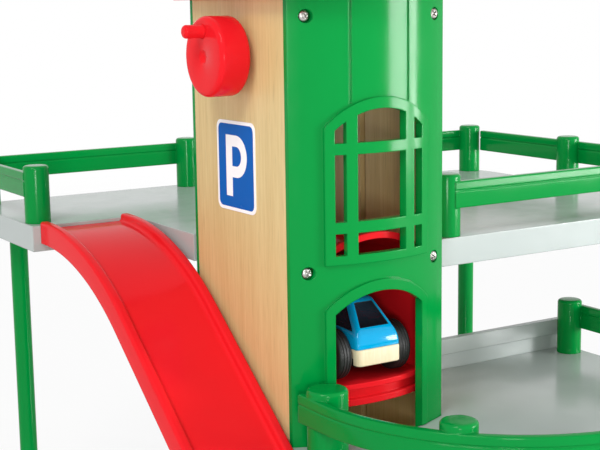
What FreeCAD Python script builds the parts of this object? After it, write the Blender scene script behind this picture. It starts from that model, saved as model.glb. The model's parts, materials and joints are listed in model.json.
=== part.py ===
import FreeCAD, Part
import math
import os
import re

import Sketcher
from FreeCAD import Placement, Rotation, Vector

# Toy parking garage with a hand-cranked lift.
# Frame: +X to the right, +Y to the back, +Z up, millimetres. The origin is the middle of the
# tower's footprint on the floor, and the lift's doors face -Y.

doc = FreeCAD.newDocument("ParkingGarage")
sheet = doc.addObject("Spreadsheet::Sheet", "Sizes")

DRIVING = {
    # tower
    "tower_width": 100.0,
    "tower_depth": 105.0,
    "tower_top": 352.0,
    "panel_thick": 12.0,
    "cover_flange": 3.0,
    "cover_wall": 3.2,
    "bow_rise": 12.6,
    "socket_depth": 13.0,
    # levels
    "ground_top": 16.0,
    "level_gap": 100.0,
    "plate_wall": 3.0,
    "skirt_height": 16.0,
    "skirt_wall": 3.0,
    "fit_gap": 0.4,
    "tower_overlap": 4.0,
    # how far cutting tools pass their work, and stand out from a bowed face
    "cut_over": 1.0,
    "far_over": 8.0,
    # a softened rim is two short slopes that meet at this share of its width
    "soft_share": 0.3,
    # doors and window
    "door_half": 28.0,
    "door_spring": 71.5,
    "arch_rise": 10.5,
    "surround_margin": 5.4,
    "surround_raise": 1.6,
    "door_rise_margin": 4.0,
    "door_spring_margin": 2.0,
    "window_rise_margin": 4.5,
    "window_spring_margin": 1.5,
    "window_sill_margin": 4.8,
    "window_sill": 102.5,
    "window_spring": 168.5,
    "bar_width": 6.0,
    "mullion_inner": 15.2,
    "mullion_outer": 21.5,
    "low_bar_middle": 117.3,
    "high_bar_middle": 158.7,
    "trim_line_x": 18.3,
    "trim_line_width": 1.2,
    "trim_line_depth": 0.6,
    "trim_line_start": 3.0,
    # cover screws
    "screw_x": 41.0,
    "screw_low": 24.0,
    "screw_second": 92.0,
    "screw_third": 210.0,
    "screw_third_back": 188.0,
    "screw_top": 343.0,
    "screw_head_radius": 3.1,
    "screw_head_height": 2.1,
    "screw_shank_radius": 1.5,
    "screw_length": 16.0,
    "head_gap": 0.4,
    "shank_gap": 0.2,
    "recess_reach": 10.0,
    "hole_reach": 8.0,
    "screw_seat": 4.9,
    "screw_cross_long": 3.8,
    "screw_cross_wide": 0.9,
    "screw_cross_deep": 1.1,
    # roof
    "roof_overhang": 8.0,
    "roof_edge": 8.0,
    "roof_crown": 20.0,
    "roof_wall": 5.0,
    "roof_ledge": 2.0,
    "roof_thick": 8.0,
    "roof_screw_radius": 3.0,
    "roof_screw_y": 30.0,
    # sign
    "sign_width": 42.3,
    "sign_height": 50.0,
    "sign_thick": 0.5,
    "sign_corner": 4.5,
    "sign_y": 2.0,
    "sign_z": 261.5,
    # lift
    "lift_rest": 30.0,
    "lift_floor": 12.0,
    "lift_headroom": 81.0,
    "lift_wall": 2.2,
    "lift_side_gap": 0.8,
    "lift_end_gap": 2.6,
    "pit_gap": 1.5,
    "socket_gap": 0.2,
    "hood_rise": 16.0,
    "hood_bead": 1.4,
    "hood_bead_width": 3.6,
    "bead_inset": 5.0,
    "bead_drop": 12.0,
    "floor_groove_low": 3.5,
    "floor_groove_high": 9.0,
    "floor_groove_deep": 3.0,
    "floor_groove_stop": 6.0,
    "guide_width": 5.5,
    "guide_depth": 5.0,
    "guide_gap": 0.35,
    "lug_height": 26.0,
    "lug_root": 1.0,
    "lug_drop": 3.0,
    "guide_stop": 20.0,
    # winch
    "winch_y": -2.5,
    "winch_z": 322.0,
    "axle_radius": 3.0,
    "axle_gap": 0.05,
    "bush_radius": 6.0,
    "bush_flange_radius": 9.0,
    "bush_flange": 3.0,
    "blind_bore": 9.0,
    "axle_end_gap": 1.0,
    "drum_radius": 9.0,
    "drum_flange_radius": 12.0,
    "drum_flange": 1.5,
    "winding_width": 7.0,
    "winding_side": 1.5,
    "cord_radius": 0.9,
    "cord_gap": 0.3,
    "anchor_radius": 4.0,
    "anchor_height": 6.0,
    "anchor_flange": 2.5,
    "anchor_flange_thick": 2.0,
    "anchor_sink": 1.5,
    "knob_radius": 21.5,
    "knob_thick": 18.0,
    "knob_standoff": 3.6,
    "knob_edge": 2.8,
    "knob_back_edge": 3.0,
    "knob_dimple_radius": 3.6,
    "knob_dimple_deep": 1.2,
    "knob_cap": 4.0,
    "handle_radius": 3.6,
    "handle_length": 11.3,
    "handle_offset": 13.4,
    "handle_edge": 1.2,
    "peg_deep": 5.0,
    "peg_step": 1.0,
    "peg_gap": 0.5,
    # lower deck
    "lower_left": 52.5,
    "lower_front": 202.5,
    "lower_right": 215.0,
    "lower_rear": 24.5,
    "lower_curve": 120.0,
    "deck_corner": 24.0,
    # upper deck
    "upper_left": 118.0,
    "upper_right": 275.0,
    "upper_front": 44.0,
    "upper_inner": 55.5,
    "upper_step_x": 110.0,
    "upper_rear": 197.5,
    "upper_rear_left": 255.5,
    "ramp_mouth": 139.5,
    # ground plate
    "ground_left": 122.0,
    "ground_right": 222.0,
    "ground_front": 230.5,
    "ground_rear": 75.5,
    "ground_corner": 20.0,
    "pad_margin": 6.0,
    # parapet
    "parapet_height": 20.0,
    "parapet_thick": 5.0,
    "parapet_step": 1.6,
    "parapet_band": 10.0,
    "parapet_start": 3.0,
    "parapet_end": 2.0,
    # railings
    "post_radius": 8.0,
    "post_height": 36.0,
    "big_post_radius": 11.0,
    "middle_post_radius": 9.5,
    "middle_post_angle": 39.4,
    "door_post_gap": 20.0,
    "door_rail_gap": 9.5,
    "side_post_gap": 20.0,
    "rear_post_gap": 16.0,
    "rear_post_x": 44.0,
    "step_post_gap": 6.0,
    "tower_post_gap": 17.0,
    "ramp_post_gap": 14.0,
    "rail_end_gap": 1.0,
    "post_edge": 1.6,
    "rail_low": 16.5,
    "rail_high": 32.0,
    "rail_thick": 5.0,
    "rail_line": 1.2,
    "rail_line_deep": 0.5,
    "rail_line_drop": 5.4,
    "rail_inset": 3.0,
    "post_inset": 1.0,
    # ramp
    "ramp_gap": 3.0,
    "ramp_width": 60.0,
    "ramp_curb": 6.0,
    "ramp_curb_rise": 4.5,
    "ramp_curb_drop": 9.0,
    "ramp_road": 3.0,
    "ramp_step": 2.0,
    "ramp_angle": 37.6,
    "ramp_crest_radius": 175.0,
    "ramp_foot_radius": 60.0,
    "ramp_crest_start": 132.5,
    "ramp_foot_flat": 15.0,
    # columns
    "column_radius": 6.0,
    "column_foot_radius": 13.0,
    "column_foot": 4.0,
    "column_inset": 24.0,
    "column_rear_inset": 22.0,
    "column_front_inset": 30.0,
    "column_right_x": 190.0,
    "column_middle_x": 60.0,
    # toy car
    "car_length": 78.0,
    "car_front_gap": 7.5,
    "car_x": 2.0,
    "car_half": 24.0,
    "car_lift": 0.3,
    "wheel_radius": 14.0,
    "wheel_width": 9.0,
    "hub_radius": 7.0,
    "front_overhang": 17.0,
    "rear_overhang": 17.0,
    "car_axle_radius": 1.5,
    "chassis_low": 8.0,
    "chassis_high": 13.0,
    "car_roof_height": 45.0,
    "bumper_gap": 0.8,
    "bumper_low": 9.0,
    "bumper_high": 18.2,
    "bumper_long": 7.0,
    "chassis_inset": 5.0,
    "chassis_side": 1.2,
    "axle_room": 0.5,
    "hub_sink": 0.75,
    "hub_wall": 1.0,
    "nose_inset": 1.5,
    "nose_lip": 0.8,
    "nose_lip_height": 18.6,
    "nose_front": 1.6,
    "nose_fall": 5.0,
    "bonnet_height": 29.0,
    "screen_foot": 4.5,
    "screen_top": 17.0,
    "screen_top_fall": 4.0,
    "roof_front": 50.0,
    "roof_middle": 32.0,
    "roof_back": 12.0,
    "roof_front_fall": 0.6,
    "roof_back_fall": 5.0,
    "tail_lean": 3.0,
    "tail_low": 20.0,
    "tail_high": 29.0,
    "waist_height": 24.0,
    "belt_height": 28.5,
    "belt_half": 12.3,
    "cabin_height": 43.0,
    "cabin_half": 7.8,
    "crown_half": 6.4,
}

WORKED_OUT = {
    "half_width": "tower_width / 2",
    "half_depth": "tower_depth / 2",
    "panel_inner": "half_width - panel_thick",
    "panel_front": "half_depth - cover_flange",
    "panel_foot": "ground_top - socket_depth",
    "bow_radius": "(half_width ^ 2 + bow_rise ^ 2) / (2 * bow_rise)",
    "bow_y": "bow_radius - bow_rise - half_depth",
    "lower_top": "ground_top + level_gap",
    "upper_top": "ground_top + 2 * level_gap",
    "lift_top": "lower_top + lift_rest",
    "lift_low": "lift_top - lift_floor",
    "lift_peak": "lift_top + lift_headroom",
    "lift_half": "panel_inner - lift_side_gap",
    "hood_radius": "(lift_half ^ 2 + hood_rise ^ 2) / (2 * hood_rise)",
    "lift_bow": "bow_radius - cover_wall - lift_end_gap",
    "cord_y": "winch_y + drum_radius + cord_gap + cord_radius",
    "anchor_top": "lift_peak + anchor_height",
    "knob_back": "half_width + knob_standoff",
    "knob_face": "knob_back + knob_thick",
    "post_line": "post_inset + post_radius",
    "curve_x": "lower_curve - lower_left",
    "curve_y": "lower_curve - lower_front",
    "ramp_right": "half_width + ramp_gap",
    "ramp_left": "ramp_right + ramp_width",
    "car_front": "half_depth + car_front_gap",
    "car_floor": "lift_top + car_lift",
    "front_axle_y": "front_overhang - car_front",
    "rear_axle_y": "car_length - rear_overhang - car_front",
    "car_body_half": "car_half - wheel_width - bumper_gap",
    "car_axle_z": "car_floor + wheel_radius",
}

NEAR = 0.01
NAME = re.compile(r"\b[a-z]+(?:_[a-z]+)+\b")


def fill_sheet():
    """Writes the driving sizes, then the sizes worked out from them, each with its alias."""
    row = 1
    for alias, number in DRIVING.items():
        sheet.set(f"A{row}", alias)
        sheet.set(f"B{row}", str(number))
        sheet.setAlias(f"B{row}", alias)
        row += 1
    for alias, worked in WORKED_OUT.items():
        sheet.set(f"A{row}", alias)
        sheet.set(f"B{row}", "=" + worked)
        sheet.setAlias(f"B{row}", alias)
        row += 1
    doc.recompute()


def size(alias):
    """The number in a cell of the sheet."""
    return float(sheet.get(alias))


def formula(text):
    """An expression in which each bare alias is read from the sheet."""
    return NAME.sub(lambda found: "Sizes." + found.group(0), str(text))


def bind(thing, **formulas):
    """Binds properties of a document object to formulas of the sheet."""
    for name, text in formulas.items():
        thing.setExpression(name, formula(text))


def place(thing, x, y, z, turn=None):
    """Binds the place of a document object, turned as given."""
    if turn:
        thing.Placement = Placement(Vector(), turn)
    for axis, text in zip("xyz", (x, y, z)):
        thing.setExpression("Placement.Base." + axis, formula(text))


def fresh(kind, label):
    """A new document object of this kind, whose label is the sub-part's or the tool's name."""
    thing = doc.addObject(kind, label)
    thing.Label = label
    return thing


def block(label, x, y, z):
    """A box between two formulas along each axis."""
    box = fresh("Part::Box", label)
    bind(box, Length=f"({x[1]}) - ({x[0]})", Width=f"({y[1]}) - ({y[0]})", Height=f"({z[1]}) - ({z[0]})")
    place(box, x[0], y[0], z[0])
    return box


OUT_LEFT = Rotation(Vector(0, 1, 0), -90)
TURNS = {
    "x": Rotation(Vector(0, 1, 0), 90),
    "y": Rotation(Vector(1, 0, 0), -90),
    "z": Rotation(),
}


def rod(label, radius, length, x, y, z, along="z", angle="360"):
    """A cylinder that starts at a point and runs along a positive axis."""
    cylinder = fresh("Part::Cylinder", label)
    bind(cylinder, Radius=radius, Height=length, Angle=angle)
    place(cylinder, x, y, z, TURNS[along])
    return cylinder


def fuse(label, *pieces):
    """The pieces joined to one solid."""
    joined = fresh("Part::MultiFuse", label)
    joined.Shapes = list(pieces)
    joined.Refine = True
    return joined


def common(label, *pieces):
    """What the pieces have in common."""
    shared = fresh("Part::MultiCommon", label)
    shared.Shapes = list(pieces)
    return shared


def cut(label, base, *tools):
    """The base without its tools."""
    tool = tools[0] if len(tools) == 1 else fuse(label + "_tools", *tools)
    if len(tools) > 1:
        tool.Refine = False
    result = fresh("Part::Cut", label)
    result.Base = base
    result.Tool = tool
    return result


def group(label, *pieces):
    """Separate solids that share one node."""
    bundle = fresh("Part::Compound", label)
    bundle.Links = list(pieces)
    return bundle


def origin_plane(body, role):
    """One of a body's own origin planes."""
    return next(part for part in body.Origin.OriginFeatures if part.Role == role)


def polygon(body, plane, corners):
    """A closed sketch on an origin plane, with each corner bound to two formulas."""
    sketch = body.newObject("Sketcher::SketchObject", body.Name + "_outline")
    sketch.AttachmentSupport = [(origin_plane(body, plane), "")]
    sketch.MapMode = "FlatFace"
    count = len(corners)
    ring = [Vector(math.cos(turn), math.sin(turn), 0) * 10 for turn in
            (2 * math.pi * index / count for index in range(count))]
    for index in range(count):
        sketch.addGeometry(Part.LineSegment(ring[index], ring[(index + 1) % count]), False)
    for index in range(count):
        sketch.addConstraint(Sketcher.Constraint("Coincident", index, 2, (index + 1) % count, 1))
    for index, (first, second) in enumerate(corners):
        for kind, text in (("DistanceX", first), ("DistanceY", second)):
            number = sketch.addConstraint(Sketcher.Constraint(kind, -1, 1, index, 1, 1.0))
            sketch.setExpression(f"Constraints[{number}]", formula(text))
    doc.recompute()
    return sketch


def slab(label, corners, z, height, rounded=()):
    """An upright prism on a plan outline. rounded holds pairs of radius formula and corner numbers."""
    body = fresh("PartDesign::Body", label)
    sketch = polygon(body, "XY_Plane", corners)
    pad = body.newObject("PartDesign::Pad", label + "_pad")
    pad.Profile = sketch
    bind(pad, Length=height)
    doc.recompute()
    points = [line.StartPoint for line in sketch.Geometry]
    for number, (radius, chosen) in enumerate(rounded):
        base, names = body.Tip, []
        for edge_number, edge in enumerate(body.Shape.Edges, 1):
            box = edge.BoundBox
            upright = box.XLength < NEAR and box.YLength < NEAR
            for corner in chosen if upright else ():
                away = math.hypot(box.Center.x - points[corner].x, box.Center.y - points[corner].y)
                if away < NEAR:
                    names.append(f"Edge{edge_number}")
        fillet = body.newObject("PartDesign::Fillet", f"{label}_corner_{number}")
        fillet.Base = (base, names)
        bind(fillet, Radius=radius)
        doc.recompute()
    place(body, 0, 0, z)
    return body


def turned(label, profile, x, y, z, along="z"):
    """A solid of revolution. The profile gives pairs of radius and length along the axis."""
    body = fresh("PartDesign::Body", label)
    sketch = polygon(body, "XZ_Plane", profile)
    revolution = body.newObject("PartDesign::Revolution", label + "_turn")
    revolution.Profile = sketch
    revolution.ReferenceAxis = (sketch, ["V_Axis"])
    revolution.Angle = 360
    place(body, x, y, z, TURNS[along])
    doc.recompute()
    return body


def tower_plan(label, gap, z):
    """The tower's bowed footprint, grown by a gap, between two heights."""
    reach = "half_depth + bow_rise + roof_overhang + far_over"
    body = block(label + "_box", (f"-half_width - {gap}", f"half_width + {gap}"), (f"-({reach})", reach), z)
    tall = f"({z[1]}) - ({z[0]})"
    front = rod(label + "_front", f"bow_radius + {gap}", tall, 0, "bow_y", z[0])
    back = rod(label + "_back", f"bow_radius + {gap}", tall, 0, "-bow_y", z[0])
    return common(label, body, front, back)


def arched(label, half, rise, low, spring, y):
    """A doorway's prism: straight sides up to the spring line, then a flat arch."""
    radius = f"(({half}) ^ 2 + ({rise}) ^ 2) / (2 * ({rise}))"
    walls = block(label + "_walls", (f"-({half})", half), y, (low, spring))
    crown = block(label + "_crown", (f"-({half})", half), y, (f"({spring}) - cut_over", f"{spring} + {rise}"))
    wheel = rod(label + "_wheel", radius, f"({y[1]}) - ({y[0]})", 0, y[0], f"{spring} + {rise} - {radius}",
                "y")
    top = common(label + "_top", crown, wheel)
    return fuse(label, walls, top)


def radial(label, left, right, z, side):
    """A wedge that is cut radially through a bowed cover, between two places across its front."""
    far = "bow_radius + 2 * far_over"
    points = []
    for place_x in (left, right):
        points.append((f"({place_x}) * ({far}) / bow_radius",
                       f"({side}) * (sqrt(({far}) ^ 2 - (({place_x}) * ({far}) / bow_radius) ^ 2) - bow_y)"))
    return slab(label, [("0", f"-({side}) * bow_y"), points[0], points[1]], z[0], f"({z[1]}) - ({z[0]})")


SCREW_HEIGHTS = {-1: ("screw_low", "screw_second", "screw_third", "screw_top"),
                 1: ("screw_low", "screw_second", "screw_third_back", "screw_top")}


def screw(label, x, z, side):
    """A pan-head screw with a cross recess, sunk in a cover. side is -1 at the front, 1 at the back."""
    seat = f"{side} * (half_depth + screw_seat - cover_flange)"
    if side < 0:
        head_y, shank_y = f"{seat} - screw_head_height", seat
        cross_y = (f"{head_y} - cut_over", f"{head_y} + screw_cross_deep")
    else:
        head_y, shank_y = seat, f"{seat} - screw_length"
        face_y = f"{head_y} + screw_head_height"
        cross_y = (f"{face_y} - screw_cross_deep", f"{face_y} + cut_over")
    head = rod(label + "_head", "screw_head_radius", "screw_head_height", x, head_y, z, "y")
    shank = rod(label + "_shank", "screw_shank_radius", "screw_length", x, shank_y, z, "y")
    long, wide = "screw_cross_long / 2", "screw_cross_wide / 2"
    level = block(label + "_level", (f"{x} - {long}", f"{x} + {long}"), cross_y,
                  (f"{z} - {wide}", f"{z} + {wide}"))
    upright = block(label + "_up", (f"{x} - {wide}", f"{x} + {wide}"), cross_y,
                    (f"{z} - {long}", f"{z} + {long}"))
    return cut(label, fuse(label + "_blank", head, shank), level, upright)


def cover(label, side, openings):
    """A bowed cover: a shell between the side panels, with seats for its screws along both edges."""
    low, high = "ground_top + fit_gap", "tower_top"
    tall = f"{high} - ({low})"
    y = reach_y(side)
    blank = common(label + "_blank",
                   block(label + "_box", ("-half_width", "half_width"), y, (low, high)),
                   rod(label + "_bow", "bow_radius", tall, 0, f"{-side} * bow_y", low))
    hollow = common(label + "_hollow",
                    block(label + "_inside", ("-panel_inner", "panel_inner"), y,
                          (f"{low} - cut_over", f"{high} + cut_over")),
                    rod(label + "_bore", "bow_radius - cover_wall", f"{tall} + 2 * cut_over", 0,
                        f"{-side} * bow_y", f"{low} - cut_over"))
    raised = [blank]
    for name, (surround, _) in openings.items():
        ring = rod(f"{label}_{name}_face", "bow_radius + surround_raise", tall, 0, f"{-side} * bow_y", low)
        raised.append(common(f"{label}_{name}_surround", surround, ring))
    tools = [hollow]
    tools += [tool for _, group_tools in openings.values() for tool in group_tools]
    for number, height in enumerate(SCREW_HEIGHTS[side]):
        for hand, x in (("left", "-screw_x"), ("right", "screw_x")):
            seat = f"{side} * (half_depth + screw_seat - cover_flange)"
            start = f"{seat} - recess_reach" if side < 0 else seat
            tools.append(rod(f"{label}_recess_{hand}_{number}", "screw_head_radius + head_gap",
                             "recess_reach", x, start, height, "y"))
            hole = f"{seat} - cut_over" if side < 0 else f"{seat} - hole_reach + cut_over"
            tools.append(rod(f"{label}_hole_{hand}_{number}", "screw_shank_radius + shank_gap", "hole_reach",
                             x, hole, height, "y"))
    return cut(label, fuse(label + "_raised", *raised), *tools)


def reach_y(side):
    """The span of a tool that passes through one cover only."""
    if side < 0:
        return "-half_depth - bow_rise - far_over", "-panel_front"
    return "panel_front", "half_depth + bow_rise + far_over"


def doorway(label, floor, side):
    """A door with its raised surround, at one level: the surround's prism and the opening's tools."""
    y = reach_y(side)
    low, spring = f"{floor} - cut_over", f"{floor} + door_spring"
    wedge = radial(label + "_door_wedge", "-door_half", "door_half",
                   (low, f"{spring} + arch_rise + far_over"), side)
    arch = arched(label + "_door_arch", "door_half", "arch_rise", low, spring, y)
    jambs = block(label + "_door_jambs", ("-door_half - far_over", "door_half + far_over"), y, (low, spring))
    opening = common(label + "_door", wedge, fuse(label + "_door_outline", arch, jambs))
    surround = arched(label + "_surround", "door_half + surround_margin", "arch_rise + door_rise_margin",
                      f"{floor} + fit_gap", f"{spring} + door_spring_margin", y)
    return surround, [opening]


def window(label, side):
    """The barred window over the lower door: a flat-arched opening with two bars each way."""
    y = reach_y(side)
    base = "lower_top"
    outline = arched(label + "_arch", "door_half", "arch_rise", f"{base} + window_sill",
                     f"{base} + window_spring", y)
    panes = []
    columns = (("left", "-door_half", "-mullion_outer"), ("middle", "-mullion_inner", "mullion_inner"),
               ("right", "mullion_outer", "door_half"))
    half_bar = "bar_width / 2"
    rows = (("bottom", "window_sill", f"low_bar_middle - {half_bar}"),
            ("centre", f"low_bar_middle + {half_bar}", f"high_bar_middle - {half_bar}"),
            ("upper", f"high_bar_middle + {half_bar}", "window_spring + arch_rise + cut_over"))
    for column, left, right in columns:
        for row, low, high in rows:
            panes.append(radial(f"{label}_{column}_{row}", left, right,
                                (f"{base} + {low}", f"{base} + {high}"), side))
    opening = common(label + "_cut", outline, fuse(label + "_panes", *panes))
    surround = arched(label + "_surround", "door_half + surround_margin", "arch_rise + window_rise_margin",
                      f"{base} + window_sill - window_sill_margin",
                      f"{base} + window_spring + window_spring_margin", y)
    return surround, [opening]


def trim_lines(label):
    """Two fine upright lines on the front cover, from the window's surround to the top."""
    lines = []
    low, high = "lower_top + window_spring + arch_rise + trim_line_start", "tower_top + cut_over"
    core = rod(label + "_core", "bow_radius - trim_line_depth", f"{high} - ({low})", 0, "bow_y", low)
    for hand, sign in (("left", "-"), ("right", "")):
        strip = block(f"{label}_{hand}_strip", (f"{sign}trim_line_x - trim_line_width / 2",
                                                f"{sign}trim_line_x + trim_line_width / 2"),
                      ("-half_depth - bow_rise - cut_over", "-half_depth"), (low, high))
        lines.append(cut(f"{label}_{hand}", strip, core))
    return lines


def make_front_cover():
    """The bowed front between the side panels, with a doorway on the ground and one on the lower deck."""
    door_ground = doorway("front_ground", "ground_top", -1)
    door_lower = doorway("front_lower", "lower_top", -1)
    surround, opening = window("front_window", -1)
    openings = {"ground": door_ground, "lower": door_lower,
                "window": (surround, opening + trim_lines("front_trim"))}
    return cover("front_cover", -1, openings)


def make_back_cover():
    """The bowed back, with a doorway on the upper deck."""
    return cover("back_cover", 1, {"upper": doorway("back_upper", "upper_top", 1)})


def make_screws(label, side):
    """The screws that hold one cover to both side panels."""
    screws = []
    for number, height in enumerate(SCREW_HEIGHTS[side]):
        for hand, x in (("left", "-screw_x"), ("right", "screw_x")):
            screws.append(screw(f"{label}_{hand}_{number}", x, height, side))
    return group(label, *screws)


def make_side_panel(label, hand):
    """A wood side with the lift's guide groove, the winch's bore and the screws' pilot holes."""
    left = hand < 0
    x = ("-half_width", "-panel_inner") if left else ("panel_inner", "half_width")
    blank = block(label + "_blank", x, ("-panel_front", "panel_front"), ("panel_foot", "tower_top"))
    groove_x = ("panel_inner - cut_over", "panel_inner + guide_depth")
    if left:
        groove_x = ("-panel_inner - guide_depth", "cut_over - panel_inner")
    groove = block(label + "_groove", groove_x, ("cord_y - guide_width / 2", "cord_y + guide_width / 2"),
                   ("panel_foot - cut_over", "tower_top - guide_stop"))
    start, deep = "panel_inner - cut_over", "blind_bore + cut_over"
    if left:
        start, deep = "-half_width - cut_over", "panel_thick + 2 * cut_over"
    tools = [groove, rod(label + "_bore", "bush_radius", deep, start, "winch_y", "winch_z", "x")]
    screw_x = "-screw_x" if left else "screw_x"
    for number, height in enumerate(SCREW_HEIGHTS[-1]):
        tools.append(rod(f"{label}_pilot_front_{number}", "screw_shank_radius", "screw_length", screw_x,
                         "-half_depth - screw_seat + cover_flange", height, "y"))
    for number, height in enumerate(SCREW_HEIGHTS[1]):
        tools.append(rod(f"{label}_pilot_back_{number}", "screw_shank_radius", "screw_length", screw_x,
                         "half_depth + screw_seat - cover_flange - screw_length", height, "y"))
    for number, y in enumerate(("-roof_screw_y", "roof_screw_y")):
        roof_x = "panel_thick / 2 - half_width" if left else "half_width - panel_thick / 2"
        tools.append(rod(f"{label}_roof_pilot_{number}", "screw_shank_radius", "screw_length", roof_x, y,
                         "tower_top + roof_wall - screw_length", "z"))
    return cut(label, blank, *tools)


def make_roof():
    """The roof: a bowed cap with a gently arched top, seated on the panels and the covers."""
    plan = tower_plan("roof_plan", "roof_overhang", ("tower_top", "tower_top + roof_crown"))
    half = "(half_width + roof_overhang)"
    rise = "(roof_crown - roof_edge)"
    reach = "half_depth + bow_rise + roof_overhang + far_over"
    radius = f"({half} ^ 2 + {rise} ^ 2) / (2 * {rise})"
    arch = rod("roof_arch", radius, f"2 * ({reach})", 0, f"-({reach})",
               f"tower_top + roof_crown - {radius}", "y")
    hollow = block("roof_hollow", ("roof_ledge - panel_inner", "panel_inner - roof_ledge"),
                   ("roof_ledge - panel_front", "panel_front - roof_ledge"),
                   ("tower_top - cut_over", "tower_top + roof_crown - roof_thick"))
    tools = [hollow]
    for hand, x in (("left", "panel_thick / 2 - half_width"), ("right", "half_width - panel_thick / 2")):
        for place_name, y in (("front", "-roof_screw_y"), ("back", "roof_screw_y")):
            tools.append(rod(f"roof_hole_{hand}_{place_name}", "screw_shank_radius + shank_gap",
                             "roof_crown + 2 * cut_over", x, y, "tower_top - cut_over"))
            tools.append(rod(f"roof_recess_{hand}_{place_name}", "roof_screw_radius + head_gap", "roof_crown",
                             x, y, "tower_top + roof_wall"))
    return cut("roof_cap", common("roof_blank", plan, arch), *tools)


def make_roof_screws():
    """The screws through the roof into the top of the side panels."""
    screws = []
    for hand, x in (("left", "panel_thick / 2 - half_width"), ("right", "half_width - panel_thick / 2")):
        for place_name, y in (("front", "-roof_screw_y"), ("back", "roof_screw_y")):
            name = f"roof_screw_{hand}_{place_name}"
            seat = "tower_top + roof_wall"
            head = rod(name + "_head", "roof_screw_radius", "screw_head_height", x, y, seat)
            shank = rod(name + "_shank", "screw_shank_radius", "screw_length", x, y, f"{seat} - screw_length")
            long, wide = "screw_cross_long / 2", "screw_cross_wide / 2"
            z = (f"{seat} + screw_head_height - screw_cross_deep", f"{seat} + screw_head_height + cut_over")
            first = block(name + "_first", (f"{x} - {long}", f"{x} + {long}"),
                          (f"{y} - {wide}", f"{y} + {wide}"), z)
            second = block(name + "_second", (f"{x} - {wide}", f"{x} + {wide}"),
                           (f"{y} - {long}", f"{y} + {long}"), z)
            screws.append(cut(name, fuse(name + "_blank", head, shank), first, second))
    return group("roof_screws", *screws)


def make_sign():
    """The parking sign on the left panel: a thin plate with rounded corners."""
    plate = block("sign_blank", ("-half_width - sign_thick", "-half_width"),
                  ("sign_y - sign_width / 2", "sign_y + sign_width / 2"),
                  ("sign_z - sign_height / 2", "sign_z + sign_height / 2"))
    doc.recompute()
    sign = fresh("Part::Fillet", "parking_sign")
    sign.Base = plate
    corners = [number for number, edge in enumerate(plate.Shape.Edges, 1)
               if edge.BoundBox.YLength < NEAR and edge.BoundBox.ZLength < NEAR]
    sign.Edges = [(number, size("sign_corner"), size("sign_corner")) for number in corners]
    return sign


def lift_plan(label, inset, z):
    """The lift's bowed footprint, drawn in by an inset at its open ends."""
    tall = f"({z[1]}) - ({z[0]})"
    sides = block(label + "_sides", ("-lift_half", "lift_half"),
                  ("-half_depth - bow_rise", "half_depth + bow_rise"), z)
    front = rod(label + "_front", f"lift_bow - ({inset})", tall, 0, "bow_y", z[0])
    back = rod(label + "_back", f"lift_bow - ({inset})", tall, 0, "-bow_y", z[0])
    return common(label, sides, front, back)


def vault(label, grow, low):
    """The lift's cross-section along Y: upright sides under a round vault, grown by an amount."""
    y = ("-half_depth - bow_rise - far_over", "half_depth + bow_rise + far_over")
    half = f"lift_half + {grow}"
    spring = "lift_peak - 3 / 2 * hood_rise"
    walls = block(label + "_walls", (f"-({half})", half), y, (low, spring))
    crown = block(label + "_crown", (f"-({half})", half), y, (f"{spring} - cut_over", f"lift_peak + {grow}"))
    wheel = rod(label + "_wheel", f"hood_radius + {grow}", f"{y[1]} - ({y[0]})", 0, y[0],
                "lift_peak - hood_radius", "y")
    return fuse(label, walls, common(label + "_top", crown, wheel))


def make_lift_cabin():
    """The lift: a floor with a grooved lip, two walls and a vaulted hood, open at both ends."""
    span = ("lift_low - cut_over", "lift_peak + far_over")
    shell = common("lift_shell", vault("lift_outside", "0", "lift_low"), lift_plan("lift_outline", "0", span))
    bead_band = block("lift_bead_span", ("bead_inset - lift_half", "lift_half - bead_inset"),
                      ("-half_depth - bow_rise", "half_depth + bow_rise"),
                      ("lift_peak - bead_drop", "lift_peak + far_over"))
    bead = cut("lift_bead",
               common("lift_bead_blank", vault("lift_bead_vault", "hood_bead", "lift_low"), bead_band,
                      lift_plan("lift_bead_outline", "0", span)),
               lift_plan("lift_bead_core", "hood_bead_width", span))
    lugs = []
    for hand, sign in (("left", -1), ("right", 1)):
        inner, outer = "lift_half - lug_root", "panel_inner + guide_depth - guide_gap * 2"
        x = (f"-({outer})", f"-({inner})") if sign < 0 else (inner, outer)
        y = ("cord_y - guide_width / 2 + guide_gap", "cord_y + guide_width / 2 - guide_gap")
        lugs.append(block(f"lift_lug_low_{hand}", x, y, ("lift_low", "lift_low + lug_height")))
        high = "lift_peak - hood_rise - lug_drop"
        lugs.append(block(f"lift_lug_high_{hand}", x, y, (f"{high} - lug_height", high)))
    room = vault("lift_room", "-lift_wall", "lift_top")
    groove = cut("lift_floor_groove",
                 block("lift_groove_band", ("-lift_half - cut_over", "lift_half + cut_over"),
                       ("-half_depth - bow_rise", "half_depth + bow_rise"),
                       ("lift_low + floor_groove_low", "lift_low + floor_groove_high")),
                 lift_plan("lift_groove_core", "floor_groove_deep", span),
                 block("lift_groove_stop", ("-lift_half - 2 * cut_over", "lift_half + 2 * cut_over"),
                       ("floor_groove_stop - half_depth", "half_depth - floor_groove_stop"), span))
    return cut("lift_cabin", fuse("lift_body", shell, bead, *lugs), room, groove)


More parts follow.
